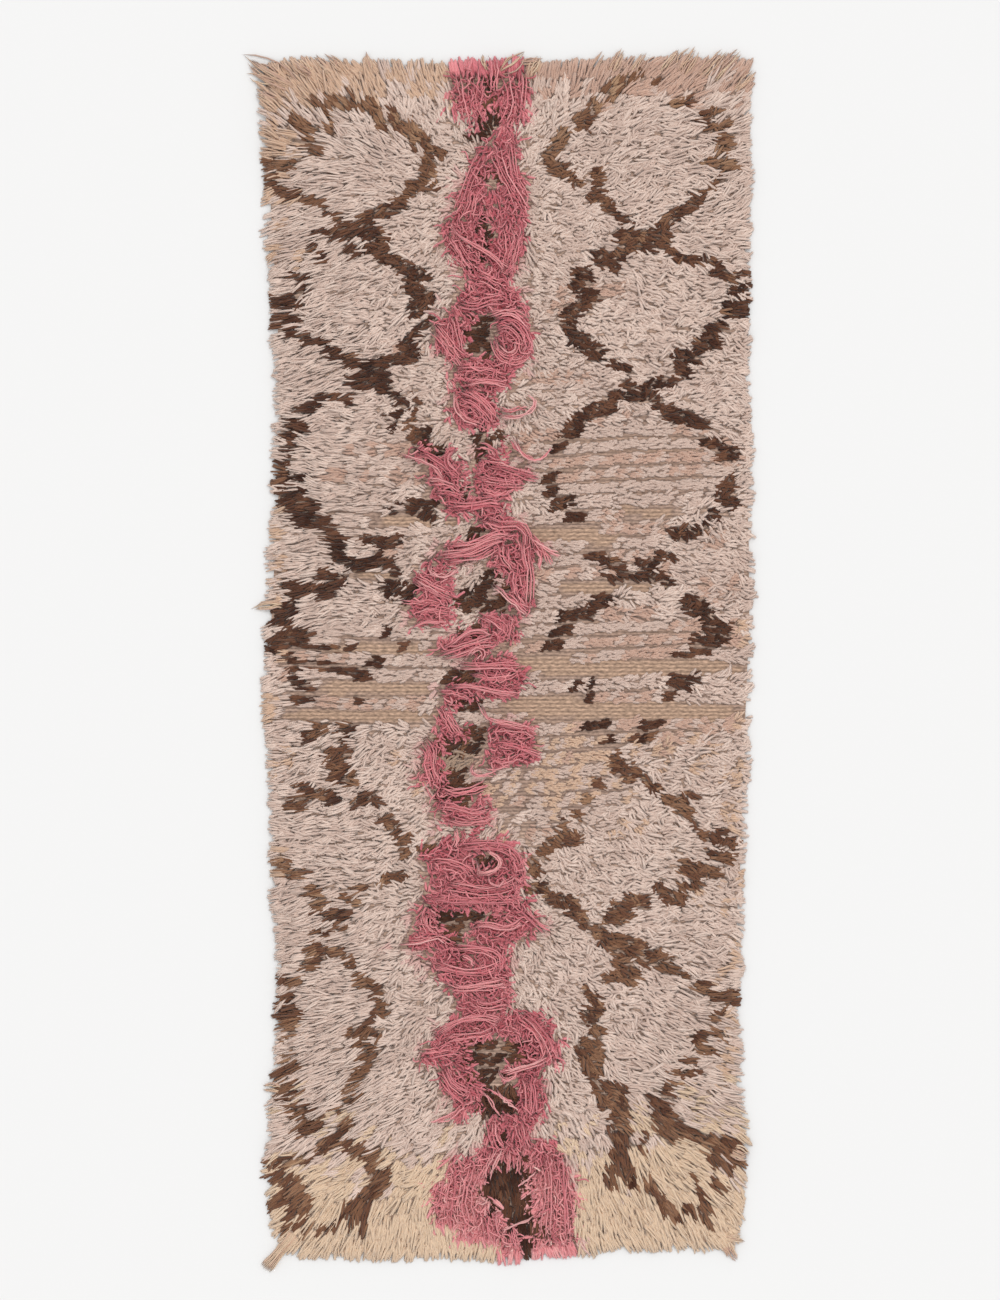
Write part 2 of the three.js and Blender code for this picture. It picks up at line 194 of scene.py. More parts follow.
# %% Brown lines of the right column
RIGHT_COLUMN = [
    # the first lozenge
    (32, [(196, 934), (182, 926)]), (14, [(200, 946), (235, 956)]), (12, [(226, 952), (262, 944)]),
    (28, [(150, 902), (142, 882), (124, 872)]), (26, [(104, 856), (90, 840), (80, 822)]),
    (24, [(82, 806), (100, 796)]), (18, [(112, 784), (128, 774)]),
    (22, [(158, 792), (158, 770), (150, 752)]), (24, [(168, 744), (184, 732)]),
    (18, [(192, 724), (206, 714)]), (34, [(198, 686), (232, 682), (262, 694)]),
    (22, [(252, 702), (276, 716), (300, 732), (318, 744)]), (16, [(320, 752), (345, 772), (362, 786)]),
    (10, [(334, 808), (376, 818)]), (12, [(362, 796), (388, 806)]),
    (24, [(362, 850), (358, 832), (370, 838)]), (14, [(346, 868), (372, 872)]),
    (20, [(352, 896), (334, 884)]), (16, [(284, 908), (308, 908)]),
    # the second
    (26, [(200, 668), (180, 654), (158, 656)]), (22, [(186, 642), (178, 646)]),
    (16, [(116, 634), (142, 632)]), (20, [(146, 622), (118, 612), (136, 606)]),
    (26, [(150, 592), (130, 580), (116, 568)]), (30, [(112, 560), (112, 540)]),
    (24, [(118, 526), (136, 520)]), (24, [(138, 508), (158, 500)]), (16, [(176, 484), (206, 474)]),
    (22, [(272, 668), (288, 656)]), (14, [(298, 652), (350, 654)]), (14, [(352, 644), (362, 636)]),
    (16, [(345, 628), (372, 622), (398, 630)]), (14, [(372, 600), (400, 606)]),
    (30, [(372, 572), (402, 574)]), (26, [(356, 544), (338, 534)]), (22, [(320, 518), (350, 516)]),
    (22, [(288, 494), (320, 492)]), (20, [(290, 474), (304, 466)]),
    (20, [(232, 440), (256, 452), (282, 452)]), (14, [(196, 450), (214, 444)]),
    # the third, half worn away
    (18, [(176, 430), (250, 430)]), (26, [(176, 412), (146, 402)]),
    (24, [(258, 415), (270, 402), (300, 392), (328, 384)]), (20, [(328, 356), (356, 352)]),
    (22, [(358, 334), (380, 338)]), (26, [(372, 288), (356, 268), (372, 256)]),
    (14, [(328, 240), (356, 238)]), (20, [(282, 208), (310, 206), (332, 218)]),
    (22, [(140, 176), (158, 170)]), (20, [(172, 158), (196, 152)]), (18, [(226, 158), (246, 154)]),
    (16, [(254, 172), (280, 168)]), (20, [(164, 132), (200, 134), (262, 134), (272, 124)]),
    (32, [(304, 92), (322, 84), (340, 62)]), (30, [(340, 60), (362, 46), (340, 30)]),
    (28, [(316, 26), (336, 20)]), (18, [(282, 6), (310, 4)]),
    # the fifth
    (14, [(190, -152), (182, -160)]), (26, [(180, -168), (200, -180), (208, -190)]),
    (18, [(152, -198), (160, -206)]), (20, [(142, -224), (136, -232)]),
    (20, [(118, -248), (126, -252)]), (16, [(98, -264), (104, -272)]), (26, [(98, -288), (118, -290)]),
    (18, [(76, -296), (88, -300)]), (18, [(62, -312), (82, -308)]), (22, [(50, -324), (56, -342)]),
    (18, [(44, -368), (72, -372)]), (22, [(78, -388), (116, -396)]),
    (20, [(112, -408), (128, -412), (136, -428)]), (16, [(150, -440), (158, -448)]),
    (14, [(215, -178), (232, -190), (250, -200)]), (18, [(236, -198), (256, -206)]),
    (24, [(270, -226), (286, -236), (300, -232)]), (12, [(300, -218), (316, -224)]),
    (16, [(300, -250), (316, -268)]), (18, [(328, -284), (350, -292), (376, -300)]),
    (12, [(352, -282), (366, -278)]), (18, [(336, -314), (372, -322)]),
    (24, [(298, -338), (330, -344), (350, -346)]), (14, [(292, -366), (330, -366)]),
    (24, [(256, -372), (270, -384), (294, -390)]), (20, [(206, -388), (236, -396)]),
    (20, [(182, -404), (208, -412)]), (20, [(172, -424), (200, -420)]),
    (24, [(160, -436), (168, -452), (178, -462)]),
    # the sixth
    (30, [(180, -460), (212, -468), (236, -480)]), (28, [(192, -478), (196, -496)]),
    (18, [(212, -506), (220, -512)]), (16, [(214, -528), (205, -522)]),
    (22, [(170, -518), (192, -516)]), (22, [(140, -540), (150, -548)]),
    (26, [(160, -568), (140, -576)]), (24, [(148, -596), (160, -612)]),
    (24, [(130, -628), (158, -632)]), (30, [(140, -650), (158, -648), (146, -672)]),
    (26, [(158, -696), (178, -700), (198, -700)]), (24, [(165, -722), (190, -728)]),
    (26, [(242, -484), (262, -490), (280, -500)]), (14, [(282, -504), (302, -514)]),
    (18, [(322, -530), (342, -532)]), (16, [(345, -546), (372, -548)]),
    (26, [(378, -552), (392, -556), (392, -568)]), (12, [(345, -582), (366, -574)]),
    (14, [(346, -604), (362, -612)]), (14, [(330, -610), (322, -622)]),
    (18, [(330, -636), (350, -638)]), (14, [(302, -652), (324, -656)]),
    (16, [(285, -670), (305, -676), (322, -668)]), (14, [(270, -694), (292, -690)]),
    (20, [(242, -714), (266, -722), (274, -710)]), (30, [(254, -738), (274, -744)]),
    # the seventh
    (40, [(194, -735), (198, -822)]), (28, [(262, -758), (276, -776)]),
    (20, [(290, -762), (310, -772), (340, -784), (372, -786)]), (30, [(372, -790), (398, -800)]),
    (16, [(340, -800), (370, -806), (404, -814)]), (22, [(352, -824), (380, -828), (392, -820)]),
    (10, [(238, -775), (234, -800)]), (24, [(178, -840), (182, -856)]),
    (24, [(212, -836), (216, -862)]), (26, [(244, -856), (252, -872)]),
    (22, [(262, -884), (280, -904)]), (14, [(285, -915), (300, -912)]),
    (18, [(300, -905), (318, -905)]), (20, [(318, -850), (326, -870)]),
    (22, [(330, -876), (338, -895), (336, -915)]), (12, [(346, -848), (358, -860)]),
]
BROWN_LINES = LEFT_COLUMN + RIGHT_COLUMN
print("right column:", len(RIGHT_COLUMN), "lines")

# %% [markdown]
# The pink chain is charted as a string of closed outlines, because it swells and narrows. Inside
# it are dark hearts. Where the rows of a heart show one by one, they are charted as bars, each
# one row of knots, and so are the short steps that are left of the lozenges in the worn middle.

# %% The pink chain, in millimetres
PINK_SHAPES = [
    [(-83, 940), (-75, 962), (-55, 974), (-38, 966), (-28, 978), (-10, 990), (8, 988), (18, 976),
     (44, 968), (46, 930), (42, 900), (36, 880), (20, 868), (5, 872), (-2, 892), (-20, 880), (-35, 866),
     (-50, 868), (-62, 888), (-80, 915)],
    [(-8, 862), (12, 868), (28, 862), (26, 830), (28, 805), (38, 785), (45, 760), (45, 722), (-68, 722),
     (-68, 760), (-60, 776), (-46, 786), (-44, 805), (-38, 828), (-22, 844), (-10, 850)],
    [(-98, 724), (-70, 732), (45, 732), (38, 705), (34, 690), (33, 660), (22, 640), (12, 622),
     (12, 605), (28, 600), (36, 575), (-5, 558), (-30, 578), (-82, 590), (-58, 604), (-50, 622),
     (-56, 640), (-68, 650), (-82, 672), (-88, 710)],
    [(-82, 594), (-50, 586), (-25, 576), (-44, 562), (-46, 552), (-62, 545), (-62, 520), (-60, 500),
     (-50, 486), (-60, 478), (-82, 490), (-96, 505), (-102, 530), (-114, 552), (-96, 558), (-84, 572)],
    [(-18, 562), (-10, 584), (22, 592), (40, 577), (36, 562), (47, 548), (54, 525), (52, 505),
     (41, 488), (25, 482), (8, 478), (-10, 484), (-16, 500), (-16, 540)],
    [(-84, 476), (-45, 490), (-15, 486), (6, 478), (14, 460), (10, 448), (-6, 440), (-5, 425),
     (-6, 405), (-12, 383), (-45, 378), (-70, 388), (-80, 410), (-80, 430), (-62, 442), (-66, 452),
     (-82, 460)],
    [(-145, 345), (-125, 350), (-110, 358), (-90, 347), (-75, 352), (-66, 325), (-60, 300), (-70, 288),
     (-60, 278), (-70, 262), (-60, 254), (-108, 262), (-122, 290), (-102, 310), (-130, 328)],
    [(-42, 354), (-20, 362), (-5, 350), (-8, 335), (0, 324), (20, 314), (44, 306), (44, 292), (20, 284),
     (15, 272), (-5, 260), (-45, 266), (-44, 290), (-47, 315), (-40, 335)],
    [(-92, 257), (-60, 262), (-5, 264), (0, 242), (10, 224), (38, 230), (52, 212), (62, 190), (54, 175),
     (47, 155), (42, 120), (45, 85), (37, 70), (20, 83), (0, 106), (8, 125), (6, 145), (-4, 150),
     (-15, 145), (-22, 162), (-45, 164), (-80, 164), (-90, 150), (-112, 160), (-97, 185), (-60, 192),
     (-30, 194), (-20, 205), (-32, 222), (-45, 234), (-62, 238), (-90, 245)],
    [(-152, 138), (-125, 142), (-112, 152), (-93, 140), (-74, 130), (-78, 103), (-100, 102),
     (-128, 106), (-132, 124)],
    [(-160, 94), (-120, 103), (-95, 102), (-80, 85), (-80, 55), (-100, 58), (-140, 54), (-130, 76),
     (-145, 84)],
    [(-40, 80), (-15, 76), (5, 76), (24, 78), (27, 55), (22, 34), (-8, 33), (-12, 58), (-28, 62)],
    [(-108, 15), (-85, 35), (-60, 50), (-40, 54), (-15, 46), (-8, 22), (-18, 6), (-45, 0), (-100, 3)],
    [(-72, -6), (0, 0), (34, -6), (30, -25), (22, -54), (-20, -54), (-48, -58), (-50, -68), (-78, -72),
     (-74, -100), (-60, -118), (-62, -130), (-100, -125), (-102, -75), (-100, -42), (-90, -28),
     (-58, -15)],
    [(-135, -124), (-100, -118), (-92, -140), (-92, -165), (-90, -185), (-94, -202), (-118, -202),
     (-136, -190), (-122, -155)],
    [(-22, -97), (20, -103), (46, -112), (50, -126), (30, -131), (44, -140), (54, -154), (40, -166),
     (10, -170), (-5, -180), (-30, -176), (-22, -150), (-17, -125)],
    [(-102, -200), (-80, -208), (-50, -202), (-24, -198), (-18, -225), (-28, -235), (-16, -255),
     (-13, -270), (-50, -280), (-92, -268), (-116, -245), (-106, -225)],
    [(-72, -280), (-30, -284), (6, -293), (30, -310), (40, -330), (37, -350), (33, -385), (42, -402),
     (48, -415), (66, -436), (45, -442), (20, -446), (12, -465), (10, -500), (16, -525), (6, -542),
     (-62, -546), (-72, -536), (-97, -525), (-92, -510), (-130, -494), (-120, -475), (-160, -463),
     (-145, -452), (-118, -446), (-140, -440), (-140, -408), (-120, -396), (-152, -388), (-116, -380),
     (-120, -350), (-137, -340), (-122, -320), (-102, -300), (-90, -290)],
    [(-62, -540), (2, -540), (22, -565), (77, -578), (88, -612), (92, -640), (74, -662), (78, -700),
     (74, -732), (52, -745), (50, -765), (62, -782), (76, -778), (96, -800), (-66, -795), (-35, -788),
     (-24, -775), (-20, -745), (-42, -735), (-62, -748), (-80, -748), (-60, -722), (-98, -705),
     (-98, -665), (-118, -655), (-134, -640), (-112, -616), (-88, -594), (-72, -570)],
    [(-74, -796), (-55, -790), (-30, -793), (-20, -778), (62, -778), (80, -776), (97, -800),
     (110, -830), (120, -860), (122, -900), (114, -948), (95, -953), (70, -942), (60, -952), (50, -976),
     (35, -948), (20, -958), (0, -944), (-25, -927), (-60, -937), (-77, -912), (-107, -900),
     (-114, -875), (-102, -845), (-80, -825), (-82, -808)],
]
print("pink chain:", len(PINK_SHAPES), "outlines")

# %% Its hearts and bars
HEARTS = [  # brown places that lie inside the pink
    [(-20, 922), (6, 920), (4, 890), (-8, 862), (-12, 842), (-42, 842), (-42, 872), (-30, 890)],
    [(-18, 790), (-4, 792), (6, 772), (-2, 764), (-14, 770)],
    [(-22, 726), (-6, 728), (-8, 705), (-14, 672), (-22, 684), (-56, 698), (-40, 710)],
    [(-32, 654), (-20, 654), (-18, 642), (-32, 640)],
    [(-102, -404), (-30, -402), (-26, -420), (-2, -418), (0, -428), (-34, -434), (-56, -438),
     (-28, -444), (-32, -458), (-86, -462), (-90, -446), (-102, -440)],
    [(-68, -476), (-52, -474), (-42, -484), (-45, -498), (-60, -494)],
    [(-55, -350), (-38, -348), (-28, -372), (-44, -372)],
    [(-72, -638), (-60, -624), (-42, -616), (18, -616), (28, -622), (48, -640), (40, -655), (16, -665),
     (16, -690), (22, -712), (16, -738), (-10, -742), (-28, -716), (-42, -690), (-48, -670),
     (-56, -655)],
    [(-12, -742), (16, -744), (16, -772), (-4, -772)],
    [(-34, -845), (-15, -818), (5, -800), (30, -805), (50, -815), (57, -850), (57, -890), (74, -915),
     (57, -935), (50, -962), (38, -935), (38, -912), (20, -905), (-5, -893), (-20, -870)],
]
BROWN_BARS = [  # y, from x, to x: single rows in the hearts and the worn middle
    (562, -42, -15), (540, -62, -16), (518, -60, -16), (496, -52, -14), (375, -30, -4), (342, -28, -8),
    (346, -115, -84), (270, -62, -46), (206, -50, -26), (142, -20, 6), (121, -62, 4), (98, -74, 0),
    (84, -20, 14), (54, -52, -16), (-30, -86, -34), (-62, -42, -18), (-76, -76, -37), (-108, -52, -22),
    (-136, -100, -24), (-183, -92, -44), (-206, -96, -28), (-238, -62, -40), (-322, -34, -4),
    (364, 90, 122), (390, 105, 138), (334, 78, 93), (302, 60, 86), (278, 64, 92), (258, 74, 108),
    (238, 95, 135), (222, 116, 160), (376, -136, -105), (402, -160, -115), (240, -162, -124),
    (252, -136, -92), (127, -176, -150), (116, -150, -126), (34, -176, -148), (-6, -200, -174),
    (-94, -162, -128), (97, 137, 176), (80, 106, 146), (66, 88, 116), (48, 76, 110), (14, 58, 96),
    (-31, 80, 116), (-51, 108, 140), (-97, 126, 174), (-126, 152, 176), (-44, 266, 298),
    (-64, 250, 280), (-106, 215, 254), (-124, 204, 242),
]
NATURAL_BARS = [(-156, -90, -30)]
print(len(HEARTS), "hearts and", len(BROWN_BARS) + len(NATURAL_BARS), "bars")

# %% [markdown]
# Here and there the weaver left the knots out and wove a plain band, and in the middle of the
# length the pile is worn down to its knots. Both show the ribbed ground.

# %% Plain bands and worn places, in millimetres
BANDS = [  # y at its left end and at its right end, half width, from x, to x
    (204, 200, 12, 20, 190),
    (246, 238, 7, 160, 290),
    (118, 112, 11, 90, 300),
    (-8, -20, 14, 0, 405),
    (-74, -88, 16, 0, 405),
    (-92, -90, 9, -350, -100),
    (228, 220, 9, -200, -60),
    (144, 140, 9, -240, -160),
    (18, 14, 8, -290, -100),
    (-46, -48, 9, -290, -105),
]
WORN = np.array([  # x, y, half across, half along, how bare
    (180, 455, 190, 28, 0.6),
    (200, 320, 210, 75, 1.0),
    (120, 195, 150, 55, 0.9),
    (-170, 320, 110, 70, 0.55),
    (-190, 220, 120, 40, 0.7),
    (60, 110, 110, 60, 0.7),
    (180, 20, 230, 60, 1.0),
    (-200, 10, 170, 60, 0.9),
    (-240, -60, 140, 50, 0.9),
    (150, -90, 240, 60, 1.0),
    (80, -190, 140, 90, 0.8),
    (330, 150, 90, 60, 0.4),
    (120, 610, 90, 50, 0.45),
    (-130, 480, 60, 40, 0.4),
    (-40, 528, 26, 42, 1.0),
    (-5, -642, 50, 34, 1.0),
    (-66, -425, 34, 26, 1.0),
])
print(len(BANDS), "plain bands and", len(WORN), "worn places")

# %% [markdown]
# The chart is read by asking, for any place on the rug, how far it lies inside a line or an
# outline. A painted picture could be looked up instead, but each correction of a line would mean
# painting it again, and its edges would blur.

# %% Read the lines, outlines and bars
PILE_SPILL = 1.8  # yarns spill over their neighbours, so a line is worked thinner than it shows
THINNEST_HALF = 6  # half of the thinnest line that still shows
ROW_REACH = 0.8  # rows lie further apart than the knots in them, so a line reaches further along


def drawn_lines(x, y):
    """How far each point is inside the nearest brown line: above 0 is on it, in millimetres."""
    best = np.full(x.shape, -1e3)
    for width, corners in BROWN_LINES:
        half = max(0.5 * width - PILE_SPILL, THINNEST_HALF)
        for (ax, ay), (bx, by) in zip(corners, corners[1:]):
            dx, dy = bx - ax, by - ay
            t = np.clip(((x - ax) * dx + (y - ay) * dy) / (dx * dx + dy * dy), 0, 1)
            best = np.maximum(best, half - np.hypot(x - ax - t * dx, ROW_REACH * (y - ay - t * dy)))
    return best


def inside(x, y, outline):
    """True for the points inside a closed outline."""
    found = np.zeros(x.shape, bool)
    for (ax, ay), (bx, by) in zip(outline, outline[1:] + outline[:1]):
        if ay == by:
            continue
        crosses = (ay > y) != (by > y)
        found ^= crosses & (x < ax + (y - ay) * (bx - ax) / (by - ay))
    return found


def in_any(x, y, outlines):
    """True for the points inside at least one of the outlines."""
    return np.any([inside(x, y, outline) for outline in outlines], axis=0)


def on_bars(x, y):
    """0 off the bars, 1 on a brown bar and 2 on a natural one. A bar takes the row nearest to it."""
    found = np.zeros(x.shape, int)
    for kind, bars in ((1, BROWN_BARS), (2, NATURAL_BARS)):
        for bar_y, start, stop in bars:
            found[(np.abs(y - bar_y) < ROW_PITCH / 2) & (x > start) & (x < stop)] = kind
    return found


first_width, first_corners = BROWN_LINES[0]
worked = 2 * float(drawn_lines(*np.array(first_corners[:1], float).T)[0])
print("a line", first_width, "mm wide is worked", round(worked, 1), "mm wide")

# %% Read the wear and the bands
def bareness(x, y):
    """0 where the pile is whole, up to 1 where it is worn to the knots. A worn place starts to fade
    at 0.65 of its half size and ends at 1.25 of it."""
    bare = np.zeros(x.shape)
    for cx, cy, across_half, along_half, share in WORN:
        out = np.hypot((x - cx) / across_half, (y - cy) / along_half)
        bare = np.maximum(bare, share * soft_step(1.25 - out, 0, 0.6))
    return bare


def in_band(x, y):
    """True where no knot is tied. A band narrows to nothing at both of its ends."""
    found = np.zeros(x.shape, bool)
    for left_y, right_y, half, start, stop in BANDS:
        share = (x - start) / (stop - start)
        cy = left_y + (right_y - left_y) * share
        taper = np.clip(12 * np.minimum(share, 1 - share), 0, 1)
        found |= np.abs(y - cy) < half * taper
    return found


worn_middle = float(bareness(np.zeros(1), np.zeros(1))[0])
print("in the middle of the rug the pile is worn by", round(worn_middle, 2))

# %% [markdown]
# ## How the pile lies
#
# Knotted pile never stands straight. Feet and years of storage comb it, so on this rug it fans out
# from the middle: left on the left side, right on the right side, up at the far end and down at
# the near end. Hair particles could be combed to do this, but they are hard to steer from a script
# and slow to export. A small table of directions and lengths is enough, since it is read at every
# knot, and a smooth noise field then groups the tufts into locks.

# %% Direction and length of the pile
LIE = np.array([  # y, then how far the pile leans towards +y, at the left side, middle, right side
    (-985, -1.5, -1.8, -1.6),
    (-900, -1.0, -1.5, -1.3),
    (-820, -0.5, -1.1, -0.9),
    (-740, -0.4, -0.5, -0.6),
    (-600, -0.25, -0.3, -0.4),
    (-400, -0.15, -0.2, -0.2),
    (0, -0.1, -0.15, -0.1),
    (400, -0.1, -0.1, -0.05),
    (650, -0.25, -0.1, 0.0),
    (740, -0.4, 0.0, 0.15),
    (810, 0.1, 0.2, 0.3),
    (870, 0.6, 0.4, 0.4),
    (915, 1.0, 0.9, 0.7),
    (938, 1.4, 2.0, 1.2),
    (985, 1.2, 2.2, 1.4),
])
LENGTH = np.array([  # y, then the tufts' length at the left side, middle, right side
    (-985, 38, 34, 38),
    (-900, 42, 34, 42),
    (-750, 40, 25, 36),
    (-600, 38, 22, 32),
    (-400, 35, 21, 28),
    (-200, 33, 20, 25),
    (0, 34, 20, 24),
    (200, 36, 20, 24),
    (450, 35, 20, 25),
    (650, 36, 20, 27),
    (800, 36, 21, 30),
    (900, 36, 23, 32),
    (928, 42, 30, 38),
    (945, 48, 42, 46),
    (985, 46, 42, 46),
])
print("tufts are", int(LENGTH[:, 1:].min()), "to", int(LENGTH[:, 1:].max()), "mm long")

# %% Read the tables, and let the pile drift
LOCK_SIZE, TUFT_SIZE, KNOT_SIZE = 75, 22, 9  # millimetres over which the pile changes its way
NOISE_CELLS = 160
NOISE_START = 1200  # the noise starts this far past the rug's middle


def across(x, y):
    """-1 at the left side of the cloth, 0 in its middle, 1 at the right side."""
    left, right = along(SIDES, y, 1), along(SIDES, y, 2)
    return np.clip((2 * x - left - right) / (right - left), -1, 1)


def blended(table, x, y):
    """A table's value at a place, blended between its left, middle and right columns."""
    u = across(x, y)
    left, middle, right = (along(table, y, c) for c in (1, 2, 3))
    side = np.where(u < 0, left, right)
    return middle + (side - middle) * soft_step(np.abs(u), 0.15, 0.85)


def drift(x, y, size, seed):
    """A smooth noise from -1 to 1 whose bumps are about size millimetres across. Each use has a
    seed of its own."""
    grid = np.random.default_rng(seed).uniform(-1, 1, (NOISE_CELLS, NOISE_CELLS))
    gx, gy = ((value + NOISE_START) / size % (NOISE_CELLS - 1) for value in (x, y))
    ix, iy = gx.astype(int), gy.astype(int)
    tx, ty = gx - ix, gy - iy
    tx, ty = tx * tx * (3 - 2 * tx), ty * ty * (3 - 2 * ty)
    low = grid[iy, ix] * (1 - tx) + grid[iy, ix + 1] * tx
    high = grid[iy + 1, ix] * (1 - tx) + grid[iy + 1, ix + 1] * tx
    return low * (1 - ty) + high * ty


def heading(x, y, bare):
    """The way the pile lies at a place, as an angle from +x. Worn pile lies along its row."""
    u = across(x, y)
    lean_x = np.sign(u + 0.12 * drift(x, y, KNOT_SIZE, 13)) * np.maximum(np.abs(u) ** 0.7 * 1.1, bare)
    lean_y = blended(LIE, x, y) * (1 - bare)
    locks = 0.3 * drift(x, y, LOCK_SIZE, 11) + 0.15 * drift(x, y, TUFT_SIZE, 12)
    return np.arctan2(lean_y, lean_x) + locks * (1 - 0.9 * bare)


near_end = heading(np.zeros(1), np.full(1, -900.0), 0)
print("at the near end the pile lies at", round(math.degrees(float(near_end[0]))), "degrees")

# %% [markdown]
# ## Rows of knots
#
# The rows lie 23 mm apart, because the weaver beats in several shots of weft after each row. Each
# knot has two cut ends, and each end opens into a soft lock about 12 mm wide, which is what the
# eye picks out. A lock is drawn as six yarns side by side, each 5 to 6 mm wide. That is coarser
# than the wool's own 3 mm, because it takes fewer such yarns to close the pile. Even so the rug
# comes to more than sixty thousand, so they are computed together as arrays and joined into a few
# meshes, one for each wool and stretch of the rug.

# %% Place the knots
KNOT_PITCH = 12.0
ROWS = 83
END_INSET, LEFT_INSET, RIGHT_INSET = 27.0, 15.0, 9.0  # how far inside the edges the outer knots lie
rng = np.random.default_rng(4711)


def knot_places():
    """x, y and row number of every knot of the rug."""
    spots = []
    for row in range(ROWS):
        share = row / (ROWS - 1)
        row_x = np.arange(-400, 420, KNOT_PITCH) + rng.uniform(-2, 2)  # a little past both sides
        far = along(ENDS, row_x, 1) - END_INSET
        near = along(ENDS, row_x, 2) + END_INSET
        wave = 2.5 * drift(row_x, np.full(row_x.shape, 60.0 * row), 120, 21)
        y = near + (far - near) * share + wave
        left, right = along(SIDES, y, 1) + LEFT_INSET, along(SIDES, y, 2) - RIGHT_INSET
        keep = (row_x > left) & (row_x < right)
        spots.append(np.stack([row_x, y, np.full(row_x.shape, row)], axis=1)[keep])
    spots = np.concatenate(spots)
    spots[:, 0] += rng.normal(0, 0.9, len(spots))
    spots[:, 1] += rng.normal(0, 1.3, len(spots))
    return spots[:, 0], spots[:, 1], spots[:, 2].astype(int)


knot_x, knot_y, knot_row = knot_places()
print(len(knot_x), "knots in", ROWS, "rows")

# %% Wear, length and lie of the pile at each knot
SHORTEST = 19  # the least that a knot's length is taken as, in millimetres
SHORT_PILE, LONG_PILE = 23, 37  # short pile stands up, and long pile lies down
at_side = soft_step(np.abs(across(knot_x, knot_y)), 0.85, 1.0)
knot_bare = bareness(knot_x, knot_y) * (1 - 0.8 * at_side)
knot_length = blended(LENGTH, knot_x, knot_y) * (1 + rng.normal(0, 0.08, len(knot_x)))
knot_length = np.maximum(knot_length, SHORTEST)
knot_lying = soft_step(knot_length, SHORT_PILE, LONG_PILE)
knot_heading = heading(knot_x, knot_y, knot_bare)
knot_heading += rng.normal(0, 1, len(knot_x)) * (0.3 - 0.24 * knot_lying) * (1 - 0.8 * knot_bare)
print(int(np.sum(knot_bare > 0.5)), "knots are worn")
print("the mean length of the pile is", round(float(np.mean(knot_length))), "mm")

# %% Choose a wool for each knot
CHARTED, NATURAL, BROWN, PINK, NONE = range(5)  # charted knots may hold both natural and brown yarns
wool = np.full(knot_x.shape, CHARTED)
wool[in_any(knot_x + 5 * drift(knot_x, knot_y, 14, 31), knot_y, PINK_SHAPES)] = PINK
wool[in_any(knot_x, knot_y, HEARTS)] = BROWN
bar = on_bars(knot_x, knot_y)
wool[bar == 1] = BROWN
wool[bar == 2] = NATURAL
wool[in_band(knot_x, knot_y)] = NONE
print(int(np.sum(wool == PINK)), "pink knots,", int(np.sum(wool == NONE)), "left out for the bands")

# %% [markdown]
# ## Wool
#
# Hand-spun wool differs from yard to yard: one hank is greyer, the next is yellow from lanolin or
# pink from dye that ran. So each wool has a little card of yarn colours, eight shades in eight
# depths of colour, and every yarn takes one place on its card, which its UV map points at. Across
# that place the map runs round the yarn, and up it runs from root to tip, so the same map also
# carries the twist of the ply and the shade down in the pile. A painted image could carry the
# colours too, but it would need a place for every yarn, and this card serves them all.

# %% Colours, nodes and materials
SHADES = 8
DEPTHS = 8


def linear(hex_colour):
    """An sRGB hex colour as linear red, green, blue and alpha."""
    parts = [int(hex_colour[i:i + 2], 16) / 255 for i in (1, 3, 5)]
    return [c / 12.92 if c <= 0.04045 else ((c + 0.055) / 1.055) ** 2.4 for c in parts] + [1.0]


def add(tree, kind, inputs=None, **settings):
    """Adds a node with its settings. An input is a value, or a socket to link from."""
    made = tree.nodes.new(kind)
    for name, value in settings.items():
        setattr(made, name, value)
    for name, value in (inputs or {}).items():
        if isinstance(value, bpy.types.NodeSocket):
            tree.links.new(value, made.inputs[name])
        else:
            made.inputs[name].default_value = value
    return made


def new_material(name, roughness, sheen):
    """A named material with its node tree and its Principled shader."""
    made = bpy.data.materials.new(name)
    made.use_nodes = True
    shader = made.node_tree.nodes["Principled BSDF"]
    shader.inputs["Roughness"].default_value = roughness
    shader.inputs["Sheen Weight"].default_value = sheen
    shader.inputs["Sheen Roughness"].default_value = 0.5
    shader.inputs["Specular IOR Level"].default_value = 0.2
    return made, made.node_tree, shader


def steps_ramp(tree, colours, factor):
    """A colour ramp with one hard step for each colour."""
    ramp = add(tree, "ShaderNodeValToRGB", {"Fac": factor})
    ramp.color_ramp.interpolation = "CONSTANT"
    stops = ramp.color_ramp.elements
    while len(stops) < len(colours):
        stops.new(1.0)
    for i, colour in enumerate(colours):
        stops[i].position = i / len(colours)
        stops[i].color = linear(colour)
    return ramp.outputs["Color"]


print("a card has", SHADES * DEPTHS, "places")

# %% Wool yarn as a material
PLY_DEPTH = 0.4  # the groove between two strands, in millimetres


